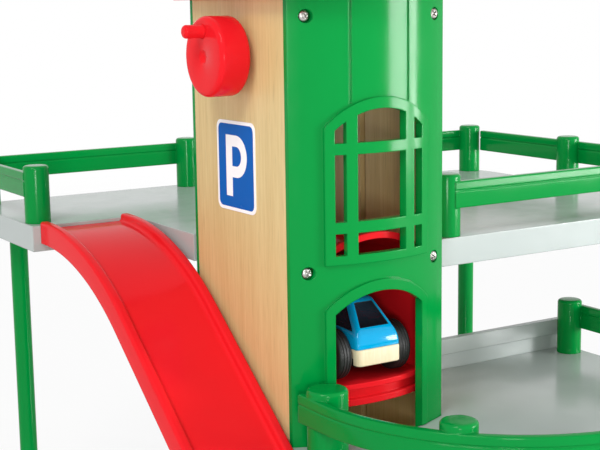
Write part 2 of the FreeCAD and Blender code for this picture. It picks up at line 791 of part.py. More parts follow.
def make_winch():
    """The hand winch: knob with its handle, axle, drum and winding, and the bushes that carry it."""
    made = []
    axle_start, axle_end = "knob_cap - knob_face", "panel_inner + blind_bore - axle_end_gap"
    made.append(rod("winch_axle", "axle_radius", f"{axle_end} - ({axle_start})", axle_start, "winch_y",
                    "winch_z", "x"))
    knob = turned("crank_knob_blank",
                  [("0", "0"), ("knob_radius - knob_back_edge", "0"),
                   ("knob_radius - knob_back_edge * soft_share", "knob_back_edge * soft_share"),
                   ("knob_radius", "knob_back_edge"), ("knob_radius", "knob_thick - knob_edge"),
                   ("knob_radius - knob_edge * soft_share", "knob_thick - knob_edge * soft_share"),
                   ("knob_radius - knob_edge", "knob_thick"), ("knob_dimple_radius", "knob_thick"),
                   ("knob_dimple_radius * (1 - soft_share)", "knob_thick - knob_dimple_deep"),
                   ("0", "knob_thick - knob_dimple_deep")],
                  "-knob_back", "winch_y", "winch_z")
    knob.Placement.Rotation = OUT_LEFT
    bore = rod("crank_knob_bore", "axle_radius", "knob_thick", axle_start, "winch_y", "winch_z", "x")
    peg = rod("crank_peg_bore", "handle_radius - peg_step", "peg_deep + 2 * peg_gap", "-knob_face - peg_gap",
              "winch_y", "winch_z + handle_offset", "x")
    made.append(cut("crank_knob", knob, bore, peg))
    handle = turned("crank_handle",
                    [("0", "-peg_deep"), ("handle_radius - peg_step", "-peg_deep"),
                     ("handle_radius - peg_step", "0"), ("handle_radius", "0"),
                     ("handle_radius", "handle_length - handle_edge"),
                     ("handle_radius - handle_edge * soft_share", "handle_length - handle_edge * soft_share"),
                     ("handle_radius - handle_edge", "handle_length"), ("0", "handle_length")],
                    "-knob_face", "winch_y", "winch_z + handle_offset")
    handle.Placement.Rotation = OUT_LEFT
    made.append(handle)
    start = "-cord_radius - winding_width - winding_side"
    core_end = "cord_radius + winding_side"
    made.append(turned("cord_drum",
                       [("axle_radius", f"{start} - drum_flange"),
                        ("drum_flange_radius", f"{start} - drum_flange"),
                        ("drum_flange_radius", start), ("drum_radius", start), ("drum_radius", core_end),
                        ("drum_flange_radius", core_end), ("drum_flange_radius", f"{core_end} + drum_flange"),
                        ("axle_radius", f"{core_end} + drum_flange")],
                       0, "winch_y", "winch_z", "x"))
    made.append(turned("cord_winding",
                       [("drum_radius", start), ("drum_radius + 2 * cord_radius", start),
                        ("drum_radius + 2 * cord_radius", f"{start} + winding_width"),
                        ("drum_radius", f"{start} + winding_width")],
                       0, "winch_y", "winch_z", "x"))
    made.append(turned("bush_left",
                       [("axle_radius + axle_gap", "-bush_flange"), ("bush_flange_radius", "-bush_flange"),
                        ("bush_flange_radius", "0"), ("bush_radius", "0"), ("bush_radius", "panel_thick"),
                        ("axle_radius + axle_gap", "panel_thick")],
                       "-half_width", "winch_y", "winch_z", "x"))
    made.append(turned("bush_right",
                       [("axle_radius + axle_gap", "0"), ("bush_radius", "0"), ("bush_radius", "blind_bore"),
                        ("axle_radius + axle_gap", "blind_bore")],
                       "panel_inner", "winch_y", "winch_z", "x"))
    return made


def make_cord():
    """The lift's cord, which hangs straight from the drum to its anchor on the hood."""
    low = "lift_peak - anchor_sink"
    anchor = fuse("anchor_body",
                  rod("anchor_foot", "anchor_radius + anchor_flange", "anchor_flange_thick + anchor_sink", 0,
                      "cord_y", low),
                  rod("anchor_stem", "anchor_radius", "anchor_height + anchor_sink", 0, "cord_y", low))
    hood = vault("anchor_seat", "0", "lift_low")
    return [cut("cord_anchor", anchor, hood),
            rod("lift_cord", "cord_radius", "winch_z - anchor_top", 0, "cord_y", "anchor_top")]


def tray(label, corners, inner_corners, z_top, rounded, inner_rounded, height):
    """A deck: a plate with a skirt round its outline, hollow underneath."""
    outer = slab(label + "_outer", corners, f"{z_top} - {height}", height, rounded)
    inner = slab(label + "_inner", inner_corners, f"{z_top} - {height} - cut_over",
                 f"{height} - plate_wall + cut_over", inner_rounded)
    return outer, inner


def make_lower_deck():
    """The lower deck: a tray with one wide curved corner, cut out around the tower and its doorway."""
    wall = "skirt_wall"
    inside, near = "half_width - tower_overlap", "-half_depth - fit_gap"
    corners = [("-lower_left", "-lower_front"), ("lower_right", "-lower_front"),
               ("lower_right", "lower_rear"), (inside, "lower_rear"), (inside, near), ("-lower_left", near)]
    beside, before = f"half_width + fit_gap + {wall}", f"-half_depth - bow_rise - fit_gap - {wall}"
    inner = [(f"{wall} - lower_left", f"{wall} - lower_front"),
             (f"lower_right - {wall}", f"{wall} - lower_front"),
             (f"lower_right - {wall}", f"lower_rear - {wall}"),
             (beside, f"lower_rear - {wall}"), (beside, before), (f"{wall} - lower_left", before)]
    outer, hollow = tray("deck_lower", corners, inner, "lower_top",
                         [("lower_curve", (0,)), ("deck_corner", (1,))],
                         [(f"lower_curve - {wall}", (0,)), (f"deck_corner - {wall}", (1,))], "skirt_height")
    low, high = "lower_top - skirt_height - cut_over", "lower_top - plate_wall"
    tower = tower_plan("deck_lower_tower", "fit_gap", (low, "lower_top + cut_over"))
    half = "(door_half + surround_margin + cut_over)"
    ring = common("deck_lower_ring",
                  block("deck_lower_ring_box", (f"-{half}", half),
                        ("-half_depth - bow_rise - far_over", "-half_depth"), (low, high)),
                  rod("deck_lower_ring_bow", "bow_radius + surround_raise + fit_gap", f"{high} - ({low})", 0,
                      "bow_y", low))
    return cut("deck_lower", outer, hollow, tower, ring)


def make_upper_deck():
    """The upper deck: a stepped tray behind and beside the tower, with the mouth of the ramp."""
    wall = "skirt_wall"
    inside = "half_width - tower_overlap"
    corners = [("-half_width", "upper_inner"), (inside, "upper_inner"), (inside, "-upper_front"),
               ("upper_right", "-upper_front"), ("upper_right", "upper_rear"), ("upper_step_x", "upper_rear"),
               ("upper_step_x", "upper_rear_left"), ("-upper_left", "upper_rear_left"),
               ("-upper_left", "ramp_mouth"), ("-half_width", "ramp_mouth")]
    back = "half_depth + bow_rise + fit_gap + " + wall
    side = "half_width + fit_gap + " + wall
    inner = [(f"{wall} - half_width", back), (side, back), (side, f"{wall} - upper_front"),
             (f"upper_right - {wall}", f"{wall} - upper_front"),
             (f"upper_right - {wall}", f"upper_rear - {wall}"),
             (f"upper_step_x - {wall}", f"upper_rear - {wall}"),
             (f"upper_step_x - {wall}", f"upper_rear_left - {wall}"),
             (f"{wall} - upper_left", f"upper_rear_left - {wall}"),
             (f"{wall} - upper_left", f"ramp_mouth + {wall}"),
             (f"{wall} - half_width", f"ramp_mouth + {wall}")]
    outer, hollow = tray("deck_upper", corners, inner, "upper_top", [("deck_corner", (3, 4, 6, 7))],
                         [(f"deck_corner - {wall}", (3, 4, 6, 7))], "skirt_height")
    tower = tower_plan("deck_upper_tower", "fit_gap",
                       ("upper_top - skirt_height - cut_over", "upper_top + cut_over"))
    return cut("deck_upper", outer, hollow, tower)


def make_ground_plate():
    """The base: a tray with a solid pad under the tower, sockets for its sides and the lift's pit."""
    wall = "skirt_wall"
    corners = [("-ground_left", "-ground_front"), ("ground_right", "-ground_front"),
               ("ground_right", "ground_rear"), ("-ground_left", "ground_rear")]
    left, right = f"{wall} - ground_left", f"ground_right - {wall}"
    front, rear = f"{wall} - ground_front", f"ground_rear - {wall}"
    inner = [(left, front), (right, front), (right, rear), (left, rear)]
    outer, hollow = tray("ground", corners, inner, "ground_top", [("ground_corner", (0, 1, 2, 3))],
                         [(f"ground_corner - {wall}", (0, 1, 2, 3))], "ground_top")
    shell = cut("ground_shell", outer, hollow)
    pad = block("ground_pad", ("-half_width - pad_margin", "half_width + pad_margin"),
                ("-half_depth - pad_margin", "half_depth + pad_margin"), ("0", "ground_top"))
    deep = ("panel_foot", "ground_top + cut_over")
    pit = lift_plan("ground_pit", "-pit_gap", deep)
    socket = block("ground_socket", ("-half_width - socket_gap", "half_width + socket_gap"),
                   ("-panel_front - socket_gap", "panel_front + socket_gap"), deep)
    return cut("ground_plate", fuse("ground_body", shell, pad), pit, socket)


def make_parapet():
    """A low wall along the lower deck's rear edge, in two bands."""
    wall = block("parapet_wall", ("half_width + parapet_start", "lower_right - parapet_end"),
                 ("lower_rear - parapet_thick", "lower_rear"), ("lower_top", "lower_top + parapet_height"))
    low = block("parapet_low", ("half_width", "lower_right"),
                ("lower_rear - parapet_thick - cut_over", "lower_rear - parapet_thick + parapet_step"),
                ("lower_top - cut_over", "lower_top + parapet_band"))
    return cut("parapet", wall, low)


def post(label, x, y, floor, radius="post_radius"):
    """A round railing post with a softened rim."""
    return turned(label, [("0", "0"), (radius, "0"), (radius, "post_height - post_edge"),
                          (f"{radius} - post_edge * soft_share", "post_height - post_edge * soft_share"),
                          (f"{radius} - post_edge", "post_height"), ("0", "post_height")], x, y, floor)


def line_span(floor):
    """The lower and upper height of the fine line in a rail."""
    middle = f"{floor} + rail_high - rail_line_drop"
    return f"{middle} - rail_line / 2", f"{middle} + rail_line / 2"


def rail(label, start, end, floor):
    """A straight rail between two points of an axis-parallel line, with a fine line on both faces."""
    half = "rail_thick / 2"
    line_z = line_span(floor)
    z = (f"{floor} + rail_low", f"{floor} + rail_high")
    if start[1] == end[1]:
        x, y = (start[0], end[0]), (f"{start[1]} - {half}", f"{start[1]} + {half}")
        core_y = (f"{start[1]} - {half} + rail_line_deep", f"{start[1]} + {half} - rail_line_deep")
        core = block(label + "_core", x, core_y, line_z)
    else:
        x, y = (f"{start[0]} - {half}", f"{start[0]} + {half}"), (start[1], end[1])
        core_x = (f"{start[0]} - {half} + rail_line_deep", f"{start[0]} + {half} - rail_line_deep")
        core = block(label + "_core", core_x, y, line_z)
    blank = block(label + "_bar", x, y, z)
    wide = block(label + "_line", x, y, line_z)
    return cut(label, blank, cut(label + "_grooves", wide, core))


def railing(label, posts, rails, floor, extra=()):
    """One length of railing: its posts and rails joined."""
    pieces = [post(f"{label}_post_{number}", *where[:2], floor, *where[2:])
              for number, where in enumerate(posts)]
    pieces += [rail(f"{label}_rail_{number}", start, end, floor)
               for number, (start, end) in enumerate(rails)]
    return fuse(label, *pieces, *extra)


def make_curved_rail(label, floor):
    """The quarter-round rail that follows the lower deck's curved corner."""
    middle = "lower_curve - rail_inset"
    line_low = line_span(floor)[0]
    rings = {}
    for name, grow in (("outer", "rail_thick / 2"), ("inner", "-rail_thick / 2"),
                       ("outer_line", "rail_thick / 2 - rail_line_deep"),
                       ("inner_line", "rail_line_deep - rail_thick / 2")):
        line = name.endswith("line")
        low = line_low if line else f"{floor} + rail_low"
        tall = "rail_line" if line else "rail_high - rail_low"
        rings[name] = rod(f"{label}_{name}", f"{middle} + {grow}", tall, "curve_x", "curve_y", low, "z", "90")
        rings[name].Placement.Rotation = Rotation(Vector(0, 0, 1), 180)
    full = rod(f"{label}_wide", f"{middle} + rail_thick", "rail_line", "curve_x", "curve_y", line_low,
               "z", "90")
    full.Placement.Rotation = Rotation(Vector(0, 0, 1), 180)
    outer_groove = cut(f"{label}_outer_groove", full, rings["outer_line"])
    bar = cut(f"{label}_bar", rings["outer"], rings["inner"])
    return cut(label, bar, outer_groove, rings["inner_line"])


def make_railings():
    """The railings of both decks: rails along the edges, with the posts standing just inside them."""
    low, high = "lower_top", "upper_top"
    front, front_rail = "(post_line - lower_front)", "(rail_inset - lower_front)"
    right, right_rail = "(lower_right - post_line)", "(lower_right - rail_inset)"
    left_rail = "(rail_inset - lower_left)"
    reach = "(lower_curve - post_inset - middle_post_radius)"
    door_post = ("post_inset + big_post_radius - lower_left", "-half_depth - door_post_gap",
                 "big_post_radius")
    curve_post = (f"curve_x - {reach} * cos(middle_post_angle * 1deg)",
                  f"curve_y - {reach} * sin(middle_post_angle * 1deg)", "middle_post_radius")
    side_rear = "(lower_rear - rear_post_gap)"
    rear, rear_rail = "(upper_rear - post_line)", "(upper_rear - rail_inset)"
    rear_left, rear_left_rail = "(upper_rear_left - post_line)", "(upper_rear_left - rail_inset)"
    left, upper_left_rail = "(post_line - upper_left)", "(rail_inset - upper_left)"
    near, near_rail = "(post_line - upper_front)", "(rail_inset - upper_front)"
    end, end_rail = "(upper_right - post_line)", "(upper_right - rail_inset)"
    step, beside = "(upper_step_x - post_line)", "(upper_step_x + step_post_gap)"
    tower_side, mouth = "(half_width + tower_post_gap)", "(ramp_mouth + ramp_post_gap)"
    past_post = "(post_radius + rail_end_gap)"
    return [
        railing("railing_front_lower", [door_post, curve_post, ("curve_x", front), (right, front)],
                [((left_rail, "curve_y"), (left_rail, "-half_depth - door_rail_gap")),
                 (("curve_x", front_rail), (right, front_rail))],
                low, [make_curved_rail("railing_curve", low)]),
        railing("railing_side_lower", [(right, "(-half_depth - side_post_gap)"), (right, side_rear)],
                [((right_rail, f"{front} + {past_post}"), (right_rail, side_rear))], low),
        railing("railing_rear_left", [(left, rear_left), ("rear_post_x", rear_left), (step, rear_left)],
                [((left, rear_left_rail), (step, rear_left_rail))], high),
        railing("railing_rear_right", [(beside, rear), (end, rear)],
                [((beside, rear_rail), (end, rear_rail))], high),
        railing("railing_front_upper", [(tower_side, near), (end, near)],
                [((tower_side, near_rail), (end, near_rail))], high),
        railing("railing_end_upper", [(end, "(upper_rear - upper_front) / 2")],
                [((end_rail, f"{near} + {past_post}"), (end_rail, f"{rear} - {past_post}"))], high),
        railing("railing_left_upper", [(left, mouth)],
                [((upper_left_rail, mouth), (upper_left_rail, f"{rear_left} - {past_post}"))], high),
    ]


def ramp_band(top, bottom, left, right):
    """A strip of the ramp between two offsets from its road surface, and two places across it."""
    turn = math.radians(size("ramp_angle"))
    crest, foot = size("ramp_crest_radius"), size("ramp_foot_radius")
    high = size("upper_top") - size("ramp_step")
    low = size("ground_top") + size("ramp_road")
    start = Vector(0, size("ramp_crest_start"), high)
    drop = high - low - (crest + foot) * (1 - math.cos(turn))
    straight = drop / math.sin(turn)
    crest_middle = start + Vector(0, 0, -crest)
    slope = Vector(0, -math.cos(turn), -math.sin(turn))
    normal = Vector(0, -math.sin(turn), math.cos(turn))
    slope_start = crest_middle + normal * crest
    slope_end = slope_start + slope * straight
    foot_middle = slope_end + normal * foot
    mouth = size("ramp_mouth") - size("fit_gap")

    def path(offset):
        """The edges of the road line, moved up by an offset, from the mouth to the foot."""
        half = turn / 2
        crest_half = crest_middle + Vector(0, -math.sin(half), math.cos(half)) * (crest + offset)
        foot_half = foot_middle + Vector(0, math.sin(half), -math.cos(half)) * (foot - offset)
        points = [Vector(0, mouth, high + offset), start + Vector(0, 0, offset),
                  slope_start + normal * offset, slope_end + normal * offset,
                  foot_middle + Vector(0, 0, offset - foot)]
        points.append(points[-1] + Vector(0, -size("ramp_foot_flat"), 0))
        edges = [Part.LineSegment(points[0], points[1]).toShape(),
                 Part.Arc(points[1], crest_half, points[2]).toShape(),
                 Part.LineSegment(points[2], points[3]).toShape(),
                 Part.Arc(points[3], foot_half, points[4]).toShape(),
                 Part.LineSegment(points[4], points[5]).toShape()]
        return edges, points[0], points[-1]

    upper, upper_start, upper_end = path(top)
    lower, lower_start, lower_end = path(bottom)
    closing = [Part.LineSegment(upper_end, lower_end).toShape(),
               Part.LineSegment(lower_start, upper_start).toShape()]
    outline = Part.Wire(Part.__sortEdges__(upper + lower + closing))
    strip = Part.Face(outline).extrude(Vector(right - left, 0, 0))
    strip.translate(Vector(left, 0, 0))
    return strip


def make_ramp():
    """The long ramp: a road between two curbs, cut level at the foot."""
    right, left = -size("ramp_right"), -size("ramp_left")
    curb = size("ramp_curb")
    road = ramp_band(0, -size("ramp_road"), left + curb / 2, right - curb / 2)
    drop = -size("ramp_curb_drop")
    solid = road.fuse([ramp_band(size("ramp_curb_rise"), drop, left, left + curb),
                       ramp_band(size("ramp_curb_rise"), drop, right - curb, right)])
    reach = 3 * size("ground_front")
    floor = Part.makeBox(reach, 2 * reach, reach, Vector(-reach, -reach, size("ground_top") - reach))
    solid = solid.cut(floor).removeSplitter()
    ramp = fresh("Part::Feature", "ramp")
    ramp.Shape = solid
    return ramp


def column(label, x, y, foot_z, length):
    """A round column with a wide foot and head."""
    return turned(label, [("0", "0"), ("column_foot_radius", "0"), ("column_foot_radius", "column_foot"),
                          ("column_radius", "column_foot"), ("column_radius", f"{length} - column_foot"),
                          ("column_foot_radius", f"{length} - column_foot"), ("column_foot_radius", length),
                          ("0", length)], x, y, foot_z)


def make_columns():
    """Three columns between the base and the lower deck, and four from the floor to the upper deck."""
    lower = (("column_right_x", "column_front_inset - lower_front"),
             ("column_right_x", "lower_rear - column_rear_inset"),
             ("column_middle_x", "column_inset - lower_front"))
    upper = (("column_inset - upper_left", "upper_rear_left - column_rear_inset"),
             ("upper_step_x - column_inset", "upper_rear_left - column_rear_inset"),
             ("upper_right - column_inset", "upper_rear - column_inset"),
             ("upper_right - column_inset", "column_inset - upper_front"))
    made = [column(f"column_lower_{number}", x, y, "ground_top", "lower_top - plate_wall - ground_top")
            for number, (x, y) in enumerate(lower, 1)]
    made += [column(f"column_upper_{number}", x, y, "0", "upper_top - plate_wall")
             for number, (x, y) in enumerate(upper, 1)]
    return made


def side_profile(label, points, half):
    """A prism across the car, on a side outline of pairs of length from the nose and height."""
    body = fresh("PartDesign::Body", label)
    outline = [(f"{along} - car_front", f"car_floor + {up}") for along, up in points]
    sketch = polygon(body, "YZ_Plane", outline)
    pad = body.newObject("PartDesign::Pad", label + "_pad")
    pad.Profile = sketch
    pad.SideType = "Symmetric"
    bind(pad, Length=f"2 * ({half})")
    place(body, "car_x", 0, 0)
    doc.recompute()
    return body


def end_profile(label, points):
    """A prism along the car, on an end outline given by pairs of half width and height."""
    body = fresh("PartDesign::Body", label)
    outline = [(wide, f"car_floor + {up}") for wide, up in points]
    outline += [(f"-{wide}", f"car_floor + {up}") for wide, up in reversed(points)]
    sketch = polygon(body, "XZ_Plane", outline)
    pad = body.newObject("PartDesign::Pad", label + "_pad")
    pad.Profile = sketch
    pad.SideType = "Symmetric"
    bind(pad, Length="2 * car_length")
    place(body, "car_x", 0, 0)
    doc.recompute()
    return body


WHEELS = (("front", "front_axle_y"), ("rear", "rear_axle_y"))
SIDES = (("left", "car_x - car_half"), ("right", "car_x + car_half - wheel_width"))


def make_car_shell():
    """The car's chassis, body shell and wood bumper. The body stands between the wheels."""
    tail, long = "car_length - chassis_inset", "2 * car_half"
    chassis = side_profile("car_chassis_blank",
                           [("chassis_inset", "chassis_low"), (tail, "chassis_low"), (tail, "chassis_high"),
                            ("chassis_inset", "chassis_high")], "car_body_half - chassis_side")
    side = side_profile("car_body_side",
                        [("nose_inset", "chassis_high"), ("car_length - tail_lean", "chassis_high"),
                         ("car_length", "tail_low"), ("car_length - tail_lean", "tail_high"),
                         ("car_length - roof_back", "car_roof_height - roof_back_fall"),
                         ("car_length - roof_middle", "car_roof_height"),
                         ("car_length - roof_front", "car_roof_height - roof_front_fall"),
                         ("screen_top", "car_roof_height - screen_top_fall"),
                         ("screen_foot", "bonnet_height"), ("nose_front", "bonnet_height - nose_fall"),
                         ("nose_lip", "nose_lip_height")],
                        "car_body_half")
    ends = end_profile("car_body_end",
                       [("car_body_half", "chassis_high"), ("car_body_half", "waist_height"),
                        ("belt_half", "belt_height"), ("cabin_half", "cabin_height"),
                        ("crown_half", "car_roof_height")])
    shell = common("car_body_blank", side, ends)
    bores = [rod(f"car_{name}_bore", "car_axle_radius + axle_gap", long, "car_x - car_half", y, "car_axle_z",
                 "x") for name, y in WHEELS]
    rooms = [rod(f"car_{name}_room", "car_axle_radius + axle_room", long, "car_x - car_half", y, "car_axle_z",
                 "x") for name, y in WHEELS]
    seat = block("car_bumper_seat",
                 ("car_x - car_body_half - bumper_gap", "car_x + car_body_half + bumper_gap"),
                 ("-car_front - cut_over", "bumper_long - car_front"),
                 ("car_floor", "car_floor + bumper_high"))
    bumper = block("car_bumper_blank", ("car_x - car_body_half", "car_x + car_body_half"),
                   ("-car_front", "bumper_long - car_front"),
                   ("car_floor + bumper_low", "car_floor + bumper_high"))
    nook = block("car_bumper_nook",
                 ("car_x - car_body_half + chassis_side", "car_x + car_body_half - chassis_side"),
                 ("chassis_inset - car_front", "bumper_long - car_front + cut_over"),
                 ("car_floor + chassis_low", "car_floor + chassis_high"))
    return [cut("car_chassis", chassis, *bores), cut("car_body", shell, seat, *rooms),
            cut("car_bumper", bumper, nook)]


def make_car_wheels(name, y):
    """One axle of the car, with its two tyres and its two hubs. The axle ends inside the hubs."""
    axle = rod(f"car_{name}_axle", "car_axle_radius", "2 * (car_half - hub_wall)",
               "car_x - car_half + hub_wall", y, "car_axle_z", "x")
    tyres, hubs = [], []
    for hand, x in SIDES:
        disc = rod(f"car_{name}_tyre_{hand}_disc", "wheel_radius", "wheel_width", x, y, "car_axle_z", "x")
        eye = rod(f"car_{name}_tyre_{hand}_eye", "hub_radius", "wheel_width + 2 * cut_over",
                  f"{x} - cut_over", y, "car_axle_z", "x")
        tyres.append(cut(f"car_{name}_tyre_{hand}", disc, eye))
        plug = rod(f"car_{name}_hub_{hand}_plug", "hub_radius", "wheel_width - 2 * hub_sink",
                   f"{x} + hub_sink", y, "car_axle_z", "x")
        inner = f"{x} + hub_wall" if hand == "left" else f"{x} - cut_over"
        bore = rod(f"car_{name}_hub_{hand}_bore", "car_axle_radius", "wheel_width + cut_over - hub_wall",
                   inner, y, "car_axle_z", "x")
        hubs.append(cut(f"car_{name}_hub_{hand}", plug, bore))
    return [axle, group(f"car_{name}_tyres", *tyres), group(f"car_{name}_hubs", *hubs)]


def check(parts):
    """Stops if any object failed, or if a sub-part is empty or not valid."""
    for thing in doc.Objects:
        bad = [state for state in thing.State if state in ("Invalid", "Error")]
        if bad:
            raise RuntimeError(f"{thing.Label}: {bad}")
    for part in parts:
        if part.Shape.isNull() or not part.Shape.isValid() or not part.Shape.Solids:
            raise RuntimeError(f"{part.Label}: its shape is empty or not valid")


def main():
    fill_sheet()
    parts = [
        make_side_panel("side_panel_left", -1),
        make_side_panel("side_panel_right", 1),
        make_front_cover(),
        make_back_cover(),
        make_screws("front_cover_screws", -1),
        make_screws("back_cover_screws", 1),
        make_roof(),
        make_roof_screws(),
        make_sign(),
        make_lift_cabin(),
        make_lower_deck(),
        make_upper_deck(),
        make_ground_plate(),
        make_parapet(),
        make_ramp(),
    ]
    parts += make_winch() + make_cord() + make_railings() + make_columns() + make_car_shell()
    for name, y in WHEELS:
        parts += make_car_wheels(name, y)
    doc.recompute()
    check(parts)
    os.makedirs("parts", exist_ok=True)
    for part in parts:
        part.Shape.exportStep(f"parts/{part.Label}.step")
        box = part.Shape.BoundBox
        print(part.Label, len(part.Shape.Solids), "solids", round(part.Shape.Volume / 1000, 2), "cm3",
              [round(v, 1) for v in (box.XMin, box.XMax, box.YMin, box.YMax, box.ZMin, box.ZMax)])
    print(len(parts), "nodes")


main()
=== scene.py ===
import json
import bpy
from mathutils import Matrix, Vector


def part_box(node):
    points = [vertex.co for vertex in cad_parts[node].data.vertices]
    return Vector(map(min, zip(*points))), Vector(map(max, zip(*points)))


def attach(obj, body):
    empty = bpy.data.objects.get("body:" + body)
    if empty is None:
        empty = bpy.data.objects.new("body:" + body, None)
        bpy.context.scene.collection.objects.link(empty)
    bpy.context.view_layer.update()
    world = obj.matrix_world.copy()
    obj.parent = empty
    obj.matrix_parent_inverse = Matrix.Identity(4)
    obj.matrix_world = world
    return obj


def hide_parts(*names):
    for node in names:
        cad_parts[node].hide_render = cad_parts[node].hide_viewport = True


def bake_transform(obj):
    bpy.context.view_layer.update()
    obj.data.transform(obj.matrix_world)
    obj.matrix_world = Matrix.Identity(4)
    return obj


bl_info = {
    "name": "Toy Parking Garage",
    "version": (1, 0, 0),
    "blender": (4, 5, 0),
    "location": "3D View > Sidebar > Garage",
    "description": "Dresses a toy parking garage: shells, wood sides, rails, ramp, lift, sign and toy car",
    "category": "Object",
}

from math import cos, pi, radians, sin

import bmesh
import bpy
from bpy.props import FloatProperty, FloatVectorProperty, IntProperty, PointerProperty
from mathutils import Matrix, Vector

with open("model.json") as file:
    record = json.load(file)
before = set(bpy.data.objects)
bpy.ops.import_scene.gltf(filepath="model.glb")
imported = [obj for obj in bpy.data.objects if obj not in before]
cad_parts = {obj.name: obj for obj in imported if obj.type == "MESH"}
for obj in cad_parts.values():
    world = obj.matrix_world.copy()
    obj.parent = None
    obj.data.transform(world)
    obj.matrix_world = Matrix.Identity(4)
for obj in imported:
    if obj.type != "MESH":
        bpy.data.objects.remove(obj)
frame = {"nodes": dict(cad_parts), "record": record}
NODES = frame["nodes"]
BODY_OF = {node: body for body, nodes in frame["record"]["behaviour"]["bodies"].items() for node in nodes}
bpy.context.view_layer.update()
MM = 0.001


# Node trees and materials

def add(tree, kind, inputs=None, **settings):
    """Adds a node to a tree, with its settings, and with its inputs linked or given a value."""
    made = tree.nodes.new(kind)
    for name, value in settings.items():
        setattr(made, name, value)
    for name, value in (inputs or {}).items():
        if isinstance(value, bpy.types.NodeSocket):
            tree.links.new(value, made.inputs[name])
        else:
            made.inputs[name].default_value = value
    return made


def shade(colour, share=1.0):
    """A colour made lighter or darker, as four numbers."""
    return tuple(min(channel * share, 1.0) for channel in colour[:3]) + (1.0,)


def mix(tree, factor, first, second):
    """A blend of two colours by a factor."""
    return add(tree, "ShaderNodeMix", {0: factor, 6: first, 7: second}, data_type="RGBA").outputs[2]


def spread(tree, value, low, high, new_low, new_high):
    """A number moved from one range to another."""
    return add(tree, "ShaderNodeMapRange",
               {0: value, 1: low, 2: high, 3: new_low, 4: new_high}).outputs[0]


def noise(tree, place, scale, detail=2.0, roughness=0.5, distortion=0.0):
    return add(tree, "ShaderNodeTexNoise", {"Vector": place, "Scale": scale, "Detail": detail,
                                            "Roughness": roughness, "Distortion": distortion}).outputs[0]


def empty_material(name):
    """A new material, with its tree, its main shader and the piece's own coordinates."""
    material = bpy.data.materials.new(name)
    material.use_nodes = True
    tree = material.node_tree
    return material, tree, tree.nodes["Principled BSDF"], add(tree, "ShaderNodeTexCoord").outputs["Object"]


def relief(tree, shader, height, distance, edge):
    """Gives a shader its fine relief, over edges that look softened by a small radius."""
    soft = add(tree, "ShaderNodeBevel", {"Radius": edge}, samples=6).outputs[0]
    bump = add(tree, "ShaderNodeBump", {"Strength": 1.0, "Distance": distance, "Height": height,
                                        "Normal": soft})
    tree.links.new(bump.outputs[0], shader.inputs["Normal"])


def coat(tree, shader, tone, pattern, smoothest, dullest):
    """Gives a shader its colour, and a roughness that follows a pattern."""
    tree.links.new(tone, shader.inputs["Base Color"])
    tree.links.new(spread(tree, pattern, 0.3, 0.7, smoothest, dullest), shader.inputs["Roughness"])


def moulded(name, colour, roughness=0.14, edge=0.9 * MM, ripple=0.02 * MM, gloss=0.16):
    """Moulded plastic: an even colour with slight clouds, a faint ripple, handling haze and soft edges."""
    material, tree, shader, place = empty_material(name)
    tone = mix(tree, noise(tree, place, 14.0, 3.0), shade(colour, 0.94), shade(colour, 1.06))
    coat(tree, shader, tone, noise(tree, place, 60.0, 5.0, 0.6), roughness * 0.75, roughness * 1.3)
    relief(tree, shader, noise(tree, place, 60.0, 1.0), ripple, edge)
    shader.inputs["Specular IOR Level"].default_value = gloss
    return material


def timber(name, light, dark, stretch, pores=1.0, edge=0.6 * MM, scale=1.0):
    """Lacquered wood: long grain, fine pores as short dark dashes, and slow bands of tone."""
    material, tree, shader, place = empty_material(name)
    long = add(tree, "ShaderNodeMapping", {"Vector": place, "Scale": stretch}).outputs[0]
    bands = noise(tree, long, 70.0 * scale, 3.0, 0.5, 0.5)
    grain = noise(tree, long, 620.0 * scale, 4.0, 0.65)
    flecks = noise(tree, long, 1700.0 * scale, 1.0)
    share = add(tree, "ShaderNodeMath", {0: bands, 1: grain}, operation="ADD").outputs[0]
    tone = mix(tree, spread(tree, share, 0.75, 1.25, 0.0, 1.0), shade(light), shade(dark))
    tone = mix(tree, spread(tree, flecks, 0.6, 0.72, 0.0, 0.4 * pores), tone, shade(dark, 0.6))
    coat(tree, shader, tone, grain, 0.34, 0.48)
    relief(tree, shader, grain, 0.04 * MM, edge)
    shader.inputs["Specular IOR Level"].default_value = 0.4
    return material


def plated(name, colour):
    """Plated steel with fine scratches."""
    material, tree, shader, place = empty_material(name)
    long = add(tree, "ShaderNodeMapping", {"Vector": place, "Scale": (1.0, 1.0, 0.15)}).outputs[0]
    marks = noise(tree, long, 1800.0, 3.0)
    coat(tree, shader, mix(tree, marks, shade(colour, 0.82), shade(colour, 1.12)), marks, 0.21, 0.42)
    relief(tree, shader, marks, 0.01 * MM, 0.25 * MM)
    shader.inputs["Metallic"].default_value = 1.0
    return material


def tyre_rubber(name, colour):
    """Black rubber, dull with a fine pebbled skin."""
    material, tree, shader, place = empty_material(name)
    skin = noise(tree, place, 2600.0, 2.0)
    tone = mix(tree, noise(tree, place, 160.0, 3.0), shade(colour, 0.7), shade(colour, 1.5))
    coat(tree, shader, tone, skin, 0.38, 0.6)
    relief(tree, shader, skin, 0.03 * MM, 0.4 * MM)
    return material


